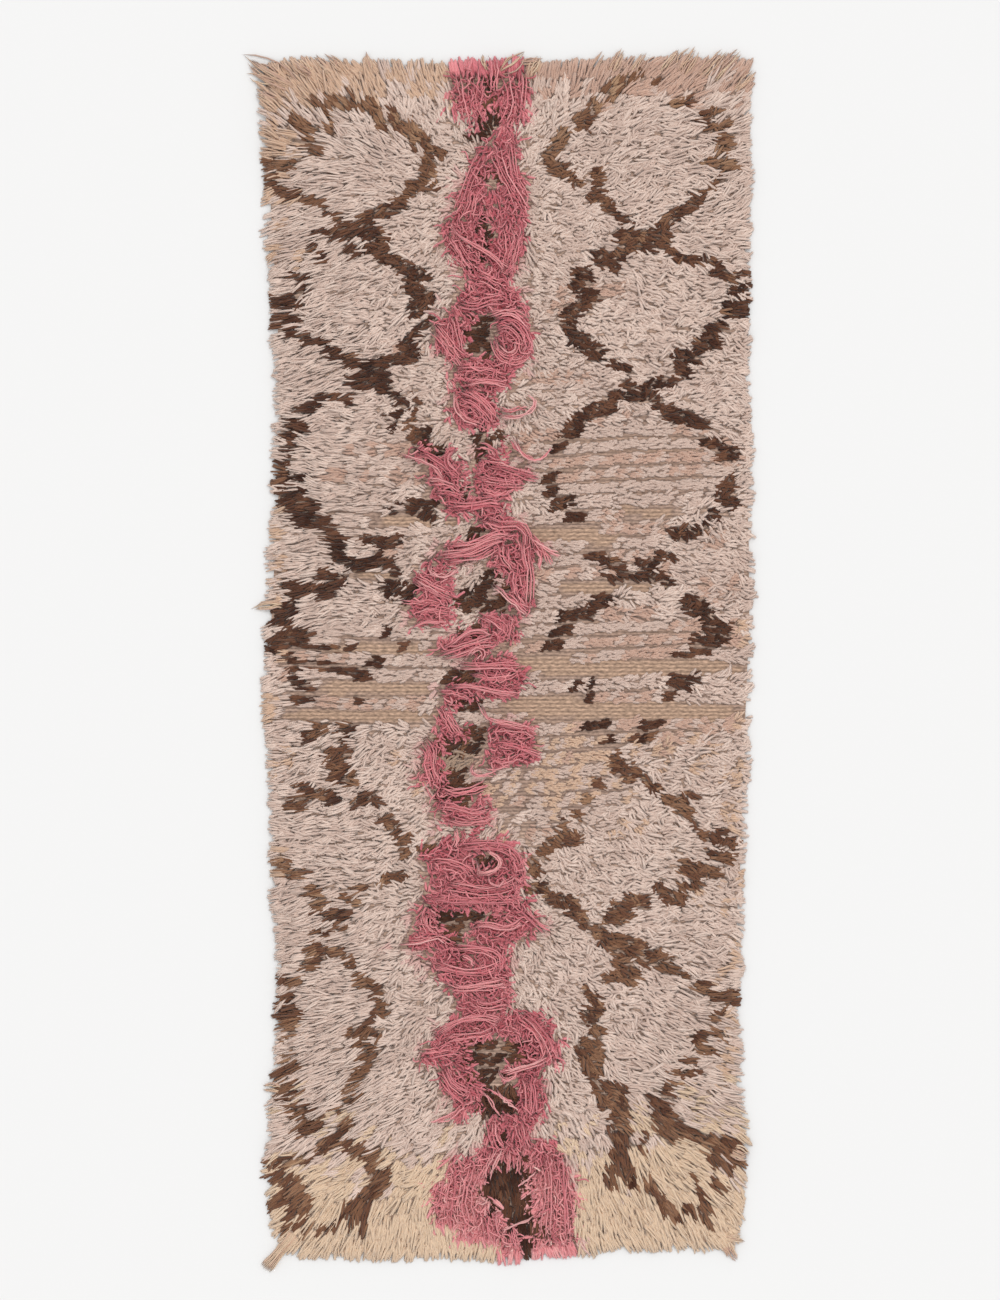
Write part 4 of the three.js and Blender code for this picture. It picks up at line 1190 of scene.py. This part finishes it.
# %% Strokes of pink yarn on the far half, in millimetres
FAR_STROKES = [  # how many yarns, how wide the bunch is, how pale, and the line it follows
    (4, 34, 0, [(-62, 962), (-58, 930), (-50, 898), (-42, 872)]),
    (2, 16, 0, [(-30, 968), (-32, 935), (-38, 905)]),
    (4, 30, 0, [(14, 972), (22, 935), (24, 900), (16, 872)]),
    (2, 12, 0, [(38, 960), (40, 925), (36, 890)]),
    (3, 14, 1, [(-12, 985), (-8, 955), (-10, 925)]),
    (4, 20, 0, [(-12, 858), (-8, 820), (4, 790), (24, 760), (38, 730)]),
    (4, 16, 0, [(14, 862), (18, 820), (26, 785), (42, 750)]),
    (3, 22, 0, [(-22, 838), (-40, 800), (-58, 765), (-64, 728)]),
    (5, 20, 0, [(-30, 770), (-45, 750), (-50, 725)]),
    (3, 5, 2, [(-92, 716), (-72, 690), (-45, 678), (-20, 662), (0, 645), (6, 628)]),
    (3, 5, 1, [(-62, 688), (-32, 670), (-5, 652), (12, 640)]),
    (7, 22, 0, [(8, 722), (12, 690), (15, 660), (10, 632)]),
    (5, 12, 0, [(30, 705), (26, 672), (16, 645)]),
    (6, 20, 0, [(-84, 700), (-74, 675), (-60, 655), (-50, 640)]),
    (5, 20, 0, [(-45, 630), (-20, 618), (5, 608)]),
    (6, 16, 0, [(-80, 588), (-60, 578), (-40, 576), (-20, 584), (5, 588)]),
    (6, 14, 1, [(-24, 556), (0, 566), (22, 562), (42, 548)]),
    (6, 14, 0, [(-14, 545), (5, 553), (25, 548), (40, 534), (49, 515), (44, 498)]),
    (5, 10, 0, [(-14, 534), (0, 541), (15, 538), (28, 528), (35, 512), (28, 500)]),
    (5, 12, 0, [(-14, 530), (-6, 502), (5, 490), (20, 485), (36, 488), (50, 505)]),
    (5, 8, 1, [(-10, 520), (0, 505), (12, 498), (24, 500), (28, 512)]),
    (9, 24, 0, [(-110, 550), (-92, 530), (-78, 505), (-58, 488)]),
    (5, 14, 0, [(-84, 568), (-74, 550), (-68, 528), (-66, 506)]),
    (6, 12, 0, [(-82, 470), (-50, 474), (-20, 470), (8, 462)]),
    (4, 8, 1, [(-64, 450), (-40, 456), (-15, 452), (12, 448)]),
    (8, 24, 0, [(-76, 432), (-50, 422), (-30, 405), (-14, 386)]),
    (6, 12, 0, [(-60, 442), (-36, 428), (-16, 408), (-8, 390)]),
    (4, 8, 2, [(-10, 402), (20, 394), (45, 401), (60, 416), (50, 428)]),
    (3, 5, 1, [(-6, 412), (20, 403), (42, 410)]),
    (4, 8, 2, [(-72, 447), (-74, 415), (-62, 394), (-30, 384)]),
    (4, 6, 2, [(20, 370), (25, 350), (40, 332), (58, 324), (73, 330), (82, 340)]),
    (3, 4, 1, [(14, 362), (30, 338), (52, 326)]),
    (6, 14, 0, [(-148, 345), (-120, 335), (-95, 318), (-72, 300)]),
    (3, 5, 2, [(-170, 336), (-130, 326), (-105, 311), (-90, 290)]),
    (5, 14, 0, [(-72, 346), (-88, 332), (-84, 312), (-70, 300)]),
    (4, 8, 1, [(-124, 292), (-95, 288), (-68, 278)]),
    (5, 10, 0, [(-108, 270), (-80, 272), (-56, 262)]),
    (6, 14, 0, [(-42, 327), (-10, 316), (20, 309), (62, 298)]),
    (6, 16, 0, [(-46, 302), (-20, 291), (10, 286), (34, 290)]),
    (5, 12, 0, [(-42, 276), (-10, 270), (14, 278)]),
    (5, 14, 0, [(-38, 350), (-20, 345), (-6, 335)]),
    (5, 12, 0, [(-90, 252), (-60, 250), (-20, 256), (5, 250)]),
    (7, 16, 0, [(-44, 238), (-20, 226), (5, 215), (30, 222), (46, 205), (45, 180)]),
    (6, 14, 0, [(-98, 182), (-60, 184), (-30, 194), (0, 206), (26, 200)]),
    (6, 14, 1, [(-114, 165), (-80, 174), (-50, 177), (-20, 191), (6, 196)]),
    (4, 8, 0, [(-105, 160), (-60, 162), (-30, 169), (-5, 182)]),
    (4, 6, 2, [(-114, 164), (-119, 150), (-106, 138), (-86, 134), (-72, 146)]),
    (4, 10, 1, [(44, 208), (60, 192), (76, 172), (80, 152)]),
    (4, 7, 2, [(48, 196), (75, 180), (102, 170)]),
    (3, 5, 1, [(56, 186), (66, 168), (62, 150)]),
    (7, 18, 0, [(38, 216), (44, 190), (40, 170), (47, 150), (45, 120), (42, 92)]),
    (6, 14, 0, [(12, 195), (5, 175), (12, 155), (28, 145)]),
    (5, 12, 0, [(22, 150), (20, 125), (28, 100)]),
    (6, 14, 0, [(-152, 139), (-125, 129), (-105, 115), (-84, 104)]),
    (3, 6, 1, [(-145, 130), (-120, 118), (-100, 105)]),
    (3, 5, 2, [(-22, 128), (-5, 125), (5, 110), (20, 92), (40, 76)]),
    (4, 8, 0, [(0, 114), (20, 96), (43, 84)]),
    (4, 6, 0, [(-165, 96), (-140, 92), (-115, 98), (-90, 88)]),
    (5, 8, 0, [(-140, 75), (-120, 81), (-94, 80)]),
    (3, 6, 1, [(-148, 52), (-120, 62), (-92, 60)]),
]
print("far half:", len(FAR_STROKES), "strokes")

# %% Strokes on the near half
NEAR_STROKES = [
    (5, 12, 0, [(-45, 78), (-25, 72), (0, 60), (16, 40)]),
    (7, 20, 0, [(12, 78), (13, 55), (8, 34)]),
    (4, 8, 1, [(-102, 12), (-75, 25), (-55, 43), (-35, 50), (-14, 42)]),
    (5, 10, 0, [(-108, 8), (-75, 15), (-45, 30), (-14, 35)]),
    (4, 8, 0, [(-102, 1), (-60, 8), (-30, 22), (-8, 25)]),
    (3, 4, 2, [(-60, -2), (-46, 10), (-35, 23), (-22, 10), (-36, -2)]),
    (5, 12, 0, [(-80, -8), (-40, -12), (0, -7), (34, -12)]),
    (5, 10, 0, [(-56, -22), (-20, -30), (10, -28), (32, -20)]),
    (5, 9, 1, [(-97, -42), (-50, -42), (0, -51), (26, -55)]),
    (5, 12, 0, [(-100, -50), (-75, -56), (-50, -60)]),
    (7, 20, 0, [(-98, -70), (-86, -95), (-68, -120)]),
    (4, 8, 2, [(-36, -60), (-32, -84), (-16, -99), (14, -102), (48, -110)]),
    (5, 12, 0, [(-16, -112), (10, -108), (40, -113), (62, -120)]),
    (5, 12, 0, [(-18, -140), (10, -135), (38, -142), (66, -156)]),
    (4, 10, 0, [(-20, -160), (10, -165), (34, -158)]),
    (3, 4, 2, [(-44, -163), (-49, -180), (-32, -190), (-10, -186)]),
    (3, 6, 1, [(-28, -170), (-5, -179), (12, -170)]),
    (7, 20, 0, [(-126, -125), (-112, -145), (-114, -172), (-104, -200)]),
    (6, 14, 0, [(-112, -205), (-80, -215), (-46, -212), (-22, -204)]),
    (6, 14, 0, [(-114, -236), (-75, -240), (-40, -250), (-18, -246)]),
    (5, 12, 0, [(-102, -258), (-60, -266), (-16, -262)]),
    (4, 8, 1, [(-74, -268), (-68, -284), (-73, -302)]),
    (7, 16, 0, [(-97, -306), (-60, -300), (-20, -299), (15, -308), (33, -326), (30, -348)]),
    (4, 6, 2, [(-40, -317), (-46, -330), (-36, -346), (-15, -346), (5, -336), (0, -319), (-20, -311)]),
    (7, 20, 0, [(-124, -338), (-95, -328), (-65, -334), (-50, -352)]),
    (6, 16, 0, [(-112, -362), (-80, -366), (-40, -376), (0, -372), (26, -358)]),
    (3, 4, 2, [(-20, -350), (-16, -363), (3, -366), (9, -353)]),
    (6, 14, 0, [(-145, -390), (-90, -388), (-30, -394), (30, -390)]),
    (5, 12, 1, [(-52, -436), (-20, -430), (15, -438), (42, -426)]),
    (5, 12, 0, [(30, -400), (50, -420), (78, -441)]),
    (4, 6, 1, [(-170, -463), (-130, -458), (-100, -452), (-84, -463)]),
    (6, 16, 0, [(-124, -408), (-120, -430), (-106, -448)]),
    (6, 12, 0, [(-90, -470), (-50, -466), (-12, -472), (4, -490), (-6, -508)]),
    (2, 3, 2, [(-62, -480), (-46, -488), (-40, -500)]),
    (6, 14, 0, [(-128, -490), (-90, -500), (-40, -512), (0, -500)]),
    (6, 14, 1, [(-97, -524), (-60, -536), (-20, -530), (8, -522)]),
    (6, 16, 0, [(-50, -545), (-40, -560), (-20, -566), (10, -560)]),
    (6, 12, 1, [(-118, -616), (-90, -598), (-60, -584), (-25, -581), (2, -590)]),
    (5, 10, 0, [(-102, -631), (-85, -616), (-55, -609), (-30, -611), (-14, -604)]),
    (5, 12, 0, [(-136, -641), (-110, -640), (-70, -637)]),
    (8, 22, 0, [(18, -572), (50, -590), (74, -618), (82, -652)]),
    (4, 8, 2, [(88, -640), (60, -655), (30, -665), (8, -672)]),
    (3, 3, 2, [(-2, -668), (4, -682), (19, -681), (26, -672), (14, -664)]),
    (8, 26, 0, [(-100, -660), (-80, -690), (-55, -712)]),
    (3, 4, 2, [(-30, -700), (-12, -722), (-3, -738)]),
    (3, 4, 2, [(-8, -698), (8, -715), (24, -729)]),
    (2, 3, 2, [(-28, -696), (-2, -706), (22, -722)]),
    (7, 20, 0, [(40, -668), (48, -700), (50, -735)]),
    (4, 8, 1, [(-54, -715), (-72, -738), (-108, -752)]),
    (6, 18, 0, [(-16, -745), (-12, -775), (0, -800)]),
    (6, 20, 0, [(34, -745), (36, -775), (45, -800)]),
    (4, 8, 2, [(-4, -785), (-18, -818), (-31, -843)]),
    (3, 5, 2, [(6, -790), (-6, -818), (-16, -842)]),
    (3, 5, 1, [(16, -788), (14, -812), (12, -832)]),
    (3, 8, 1, [(36, -792), (30, -815), (28, -830)]),
    (2, 3, 2, [(60, -828), (46, -844), (32, -854)]),
    (2, 2, 2, [(62, -898), (48, -912), (30, -918), (4, -926)]),
    (6, 52, 0, [(-50, -798), (-60, -840), (-66, -880), (-62, -925)]),
    (3, 22, 0, [(-82, -830), (-92, -868), (-97, -898)]),
    (6, 30, 0, [(-20, -895), (-18, -920), (-10, -945)]),
    (6, 44, 0, [(74, -782), (86, -830), (90, -880), (86, -940)]),
    (3, 16, 0, [(96, -806), (110, -860), (112, -930)]),
    (5, 16, 0, [(16, -925), (22, -945), (24, -962)]),
]
STROKES = FAR_STROKES + NEAR_STROKES
print("near half:", len(NEAR_STROKES), "strokes")

# %% Which way the pink lies
STROKE_POINTS = []
for _, _, _, line in STROKES:
    for (ax, ay), (bx, by) in zip(line, line[1:]):
        for t in (0.25, 0.75):
            STROKE_POINTS.append((ax + t * (bx - ax), ay + t * (by - ay), math.atan2(by - ay, bx - ax)))
STROKE_POINTS = np.array(STROKE_POINTS)
BLEND = 15  # in square millimetres: strokes closer together than its root are blended


def pink_way(x, y):
    """The way that pink yarn lies at a place: that of the strokes near it."""
    point_x, point_y, point_way = STROKE_POINTS.T
    far = (x[:, None] - point_x[None]) ** 2 + (y[:, None] - point_y[None]) ** 2
    weight = 1 / (far + BLEND) ** 2
    return np.arctan2(weight @ np.sin(point_way), weight @ np.cos(point_way))


def on_chain(x, y):
    """True for the points on the pink of the chain, and off its hearts and bars."""
    return in_any(x, y, PINK_SHAPES) & ~in_any(x, y, HEARTS) & (on_bars(x, y) == 0)


print("the strokes give the pink its way at", len(STROKE_POINTS), "places")

# %% Walks of single pink yarns
LOOK_AHEAD = 5  # a yarn feels for the chain's edge this far ahead, in millimetres
FREE_STEPS = 3  # the first steps, which take it out of its knot, are never held back


def pink_paths(root, length, height, rings, curl, fans):
    """Walks of pink yarns along the strokes. They slow down where they would leave the chain,
    but those marked as fans lean out over its edge like the rest of the pile."""
    outward = heading(root[:, 0], root[:, 1], 0) + rng.normal(0, 0.5, len(root))
    fine = 12
    n = len(root)
    path = np.zeros((n, fine + 1, 3))
    path[:, 0, :2] = root
    path[:, 0, 2] = CLOTH_TOP - ROOT_DEPTH
    step = length / fine
    start, swing = rng.normal(0, 0.45, n), rng.normal(0, curl, n)
    wave, phase = rng.uniform(0.3, 1.1, n), rng.uniform(0, 6.3, n)
    for i in range(fine):
        t = (i + 0.5) / fine
        x, y = path[:, i, 0], path[:, i, 1]
        way = np.where(fans, outward, pink_way(x, y) + start) + swing * t + wave * np.sin(7 * t + phase)
        ahead = fans | on_chain(x + LOOK_AHEAD * np.cos(way), y + LOOK_AHEAD * np.sin(way))
        pace = step * np.where(ahead | (i < FREE_STEPS), 1.0, 0.35)
        path[:, i + 1, 0] = x + pace * np.cos(way)
        path[:, i + 1, 1] = y + pace * np.sin(way)
        path[:, i + 1, 2] = CLOTH_TOP + height * np.sin(min(t * 1.9, 1) * math.pi / 2) * (1 - 0.35 * t)
    return path[:, np.round(stations(rings) * fine).astype(int)]


print("a yarn's root is", round(CLOTH_TOP - ROOT_DEPTH, 1), "mm above the floor")

# %% Bunches of yarn along the strokes
def round_the_corners(line, count):
    """count points evenly spaced along a line, with its corners rounded."""
    line = np.array(line, float)
    for _ in range(2):
        cut = np.repeat(line, 2, axis=0)
        cut[1:-1:2], cut[2:-1:2] = 0.75 * line[:-1] + 0.25 * line[1:], 0.25 * line[:-1] + 0.75 * line[1:]
        line = cut
    far = np.concatenate([[0], np.cumsum(np.hypot(*np.diff(line, axis=0).T))])
    at = far[-1] * stations(count - 2)
    return np.stack([np.interp(at, far, line[:, 0]), np.interp(at, far, line[:, 1])], axis=1)


def stroke_paths(rings):
    """The yarns of all the strokes, side by side along their lines, and how pale each one is."""
    paths, pale = [], []
    for count, width, paleness, line in STROKES:
        middle = round_the_corners(line, rings + 2)
        run = np.gradient(middle, axis=0)
        run /= np.linalg.norm(run, axis=1, keepdims=True)
        side = np.stack([-run[:, 1], run[:, 0]], axis=1)
        wave, phase = rng.uniform(0.6, 1.8), rng.uniform(0, 6)
        for k in range(count):
            t = stations(rings)
            lane = ((k + 0.5) / count - 0.5) * width * 1.25 + rng.normal(0, 1.0)
            lane = lane * (1 - 0.3 * np.sin(math.pi * t))
            lane = lane + wave * np.sin(2.2 * math.pi * t + phase + rng.normal(0, 0.5))
            lane += rng.normal(0, 0.8, rings + 2)
            slide = run * rng.uniform(-7, 7)
            flat = middle + side * lane[:, None] + slide
            top = rng.uniform(8, 18) + 3 * paleness
            height = CLOTH_TOP + top * np.sin(np.minimum(t * 3.5, 1) * math.pi / 2) * (1 - 0.3 * t)
            height[0] = CLOTH_TOP - ROOT_DEPTH
            paths.append(np.concatenate([flat, height[:, None]], axis=1))
            pale.append(paleness)
    return np.array(paths), np.array(pale)


print("the strokes hold", sum(count for count, _, _, _ in STROKES), "yarns")

# %% Tie the pink bed, a ground of soft locks
BED_RADIUS = 1.9
FRINGE_FROM = 938  # past this the bed fans out over the rug's end instead of following the strokes


def paler_near_end(y):
    """0 along most of the rug, and 1 at the near end, where the pink is paler."""
    return soft_step(-y, 750, 850)


bed = open_knots(wool == PINK, BED_RADIUS)
bed_x, bed_y = bed["root"].T
along_strokes = pink_way(bed_x, bed_y) + rng.normal(0, 0.7, len(bed_x))
bed["angle"] = np.where(np.abs(bed_y) < FRINGE_FROM, along_strokes, bed["angle"])
bed_shade = rng.normal(1.8, 1.0, len(knot_y)) + 2.4 * paler_near_end(knot_y)
bed_shade = np.clip(bed_shade, 0, SHADES - 1).astype(int)
whole_bed = np.full(len(bed_x), True)
pile.append(lay_yarns("pink_bed", bed, whole_bed, 2, bed_shade, pink_wool))

# %% Tie the chain: finer yarns that wander over the bed
PINK_YARNS = 5
PINK_LENGTH = 27
PINK_RADIUS = 1.7
chosen = np.repeat(wool == PINK, PINK_YARNS)
sideways = rng.uniform(-4.5, 4.5, len(chosen))
lanes = np.tile(np.linspace(-8, 8, PINK_YARNS), len(knot_x))
root = np.stack([
    np.repeat(knot_x, PINK_YARNS) + sideways,
    np.repeat(knot_y, PINK_YARNS) + lanes + rng.normal(0, 1.5, len(chosen)),
], axis=1)[chosen]
pink_length = PINK_LENGTH * (1 + rng.normal(0, 0.25, len(root)))
fans = rng.uniform(0, 1, len(root)) < 0.12
pink = pink_paths(root, pink_length, rng.uniform(7, 17, len(root)), 4, 1.1, fans)
pink_radius = PINK_RADIUS * (1 + rng.normal(0, 0.1, len(root)))[:, None] * np.linspace(1.0, 0.8, 4)[None]
pink_shade = rng.normal(1.8, 1.2, len(root)) + 2.2 * paler_near_end(root[:, 1])
pink_shade = np.clip(pink_shade, 0, SHADES - 1).astype(int)
pink_place = pink_shade * DEPTHS + rng.integers(0, DEPTHS, len(root))
pile.append(yarn_piece("pink_chain", pink, pink_radius, pink_place, pink_wool))

# %% Lay the strokes over it
STROKE_RADIUS = 1.55
STROKE_TAPER = np.array([0.9, 1, 1, 1, 1, 0.95, 0.8])  # the thickness of a yarn's rings, from its root
stroke, pale = stroke_paths(len(STROKE_TAPER))
stroke_radius = STROKE_RADIUS * (1 + rng.normal(0, 0.08, len(stroke)))[:, None] * STROKE_TAPER[None]
stroke_shade = np.clip(rng.normal(2.9 + pale, 0.9), 0, SHADES - 1).astype(int)
stroke_place = stroke_shade * DEPTHS + rng.integers(0, DEPTHS, len(stroke))
pile.append(yarn_piece("pink_strokes", stroke, stroke_radius, stroke_place, pink_wool))

# %% [markdown]
# ## Loose yarns and the corner tassel
#
# At the corners, along the far edge and in three places at the sides some yarns have worked loose,
# and they lie on the floor past the cloth. They are laid bunch by bunch, because chance would
# spread them evenly. At the near left corner the last warp ends were gathered into a small tassel,
# so that the cloth can't ravel there.

# %% Loose yarns at the rim
LOOSE = [  # from x, y to x, y, how many yarns, how wide the bunch is
    (-318, 925, -421, 988, 9, 9),
    (-350, 935, -410, 972, 6, 8),
    (-362, 938, -416, 956, 4, 5),
    (-360, 905, -398, 925, 8, 14),
    (-5, 955, 42, 992, 5, 6),
    (30, 972, 72, 978, 4, 4),
    (46, 950, 66, 985, 4, 6),
    (-20, 958, -30, 990, 3, 4),
    (362, -942, 396, -936, 5, 7),
    (360, -938, 400, -948, 4, 5),
    (368, -948, 386, -980, 5, 7),
    (362, -952, 372, -974, 3, 5),
    (-345, 88, -408, 82, 6, 6),
    (-350, -700, -388, -697, 7, 8),
    (370, -795, 408, -812, 12, 20),
    (150, 950, 172, 994, 6, 16),
    (178, 952, 202, 996, 6, 18),
    (214, 952, 238, 995, 6, 18),
    (262, 950, 296, 994, 6, 14),
    (290, 952, 322, 999, 7, 18),
    (322, 945, 368, 994, 8, 16),
    (345, 940, 396, 996, 8, 18),
    (378, 925, 419, 966, 6, 12),
    (-300, 948, -342, 978, 6, 12),
    (-268, 950, -302, 987, 8, 18),
    (-250, 955, -280, 984, 6, 14),
    (-240, 955, -256, 986, 4, 8),
    (-204, 955, -217, 993, 5, 9),
    (-163, 955, -167, 982, 3, 5),
    (-110, 955, -112, 984, 3, 6),
]
LOOSE_HEIGHT = 12  # how high they lie on the pile before they come down to the floor
LOOSE_RADII = np.linspace(1.9, 1.4, 5)  # from the root to the tip


def loose_yarns():
    """Bunches of yarns that lie past the rim, each from its root to its own tip."""
    paths, radii = [], []
    for x0, y0, x1, y1, count, width in LOOSE:
        dx, dy = x1 - x0, y1 - y0
        size = math.hypot(dx, dy)
        for _ in range(count):
            shift, end, bow = rng.uniform(-0.5, 0.5) * width, rng.uniform(0.8, 1.0), rng.normal(0, 0.08)
            t = np.linspace(0, end, 7)
            sideways = shift * (1 - 0.35 * t) + bow * size * np.sin(math.pi * t)
            sideways = sideways + 0.8 * rng.normal(0, 1, 7) * (t > 0)
            px, py = x0 + dx * t - dy / size * sideways, y0 + dy * t + dx / size * sideways
            out = np.clip((outside_cloth(px, py) + 8) / 20, 0, 1)
            pz = (LOOSE_HEIGHT * np.minimum(t * 3, 1)) * (1 - out) + (1.6 + rng.uniform(0, 3)) * out
            pz[0] = CLOTH_TOP - 1.5
            paths.append(np.stack([px, py, pz], axis=1))
            radii.append(LOOSE_RADII)
    return np.array(paths), np.array(radii)


loose_paths, loose_radii = loose_yarns()
loose_shade = rng.choice((TAN, TAN, DULL, YELLOW), len(loose_paths))
loose_place = loose_shade * DEPTHS + rng.integers(0, DEPTHS, len(loose_paths))
pile.append(yarn_piece("loose_yarns", loose_paths, loose_radii, loose_place, natural_wool))

# %% The corner tassel
TASSEL_FROM = (-330, -930)
TASSEL_TO = (-385, -994)
WARP_ENDS = 16
SIDE_BY_SIDE = 8  # they lie in two layers
WARP_RADIUS = 1.5
BUNCH_HEIGHT = 13.0  # how high in the pile the bunch starts, in millimetres


def tassel_yarns():
    """Warp ends that leave the corner side by side and end in a blunt cut."""
    dx, dy = TASSEL_TO[0] - TASSEL_FROM[0], TASSEL_TO[1] - TASSEL_FROM[1]
    size = math.hypot(dx, dy)
    paths, radii = [], []
    for k in range(WARP_ENDS):
        lane, layer = k % SIDE_BY_SIDE, k // SIDE_BY_SIDE
        t = np.linspace(0, rng.uniform(0.93, 1.0), 8)
        width = 18 - 4 * np.sin(math.pi * np.clip(t * 1.3 - 0.1, 0, 1))
        sideways = (lane / (SIDE_BY_SIDE - 1) - 0.5 + 0.07 * layer) * width + 0.4 * rng.normal(0, 1, 8)
        px = TASSEL_FROM[0] + dx * t - dy / size * sideways
        py = TASSEL_FROM[1] + dy * t + dx / size * sideways
        out = np.clip((outside_cloth(px, py) + 14) / 22, 0, 1)
        pz = BUNCH_HEIGHT * (1 - out) + (1.6 + 3.0 * layer) * out
        pz[0] = CLOTH_TOP
        paths.append(np.stack([px, py, pz], axis=1))
        radii.append(np.full(6, WARP_RADIUS))
    return np.array(paths), np.array(radii)


tassel_paths, tassel_radii = tassel_yarns()
tassel_shade = rng.choice((TAN, YELLOW), len(tassel_paths))
tassel_place = tassel_shade * DEPTHS + rng.integers(3, DEPTHS, len(tassel_paths))
tassel = yarn_piece(
    "corner_tassel_yarns", tassel_paths, tassel_radii, tassel_place, natural_wool)
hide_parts("corner_tassel")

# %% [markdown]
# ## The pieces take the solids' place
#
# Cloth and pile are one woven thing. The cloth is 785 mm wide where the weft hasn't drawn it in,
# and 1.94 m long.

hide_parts("pile_rug")
for piece in pile:
    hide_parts("pile_rug")
print("the cloth carries", len(pile) + 1, "pieces of yarn")

# %% [markdown]
# ## Floor, light and camera
#
# The rug is shown from straight above on a pale floor. A broad soft light from the upper right
# gives each tuft a light and a dark side, and a bright even sky fills the shadows.

# %% The floor
def white_floor():
    """A plain pale floor, much larger than the view."""
    bpy.ops.object.select_all(action="DESELECT")
    bpy.ops.mesh.primitive_plane_add(size=12, location=(0, 0, 0))
    floor = bpy.context.object
    floor.name = "floor"
    made, _, shader = new_material("matt_white_floor_paint", 0.9, 0.0)
    shader.inputs["Base Color"].default_value = linear("#e6e6e6")
    floor.data.materials.append(made)


white_floor()

# %% Window light and sky
def window_light():
    """A broad soft light from the upper right, as from a large window."""
    data = bpy.data.lights.new("window_light", "SUN")
    data.energy, data.angle, data.color = 0.8, math.radians(28), linear("#fffdfa")[:3]
    made = bpy.data.objects.new("window_light", data)
    made.rotation_euler = Vector((-0.32, -0.55, -1.05)).to_track_quat("-Z", "Y").to_euler()
    bpy.context.scene.collection.objects.link(made)
    return made


sun = window_light()
sky = bpy.data.worlds.new("even_sky")
sky.use_nodes = True
sky.node_tree.nodes["Background"].inputs["Color"].default_value = linear("#ffffff")
sky.node_tree.nodes["Background"].inputs["Strength"].default_value = 0.95
bpy.context.scene.world = sky
bpy.context.scene.view_settings.view_transform = "Standard"
print("lit by", sun.name, "and", sky.name)

# %% Camera
VIEW_TALL = 2119  # the height of the view, in millimetres
VIEW_MIDDLE = 16.3  # and how far its middle lies towards the far end
LENS = 100
SENSOR = 36
camera_data = bpy.data.cameras.new("view")
camera_data.lens, camera_data.sensor_width = LENS, SENSOR
camera = bpy.data.objects.new("view", camera_data)
camera.location = (0, VIEW_MIDDLE * MM, VIEW_TALL * MM * LENS / SENSOR)
camera_data.clip_end = 50
bpy.context.scene.collection.objects.link(camera)
bpy.context.scene.camera = camera
print("camera is", round(camera.location.z, 2), "m above the floor")
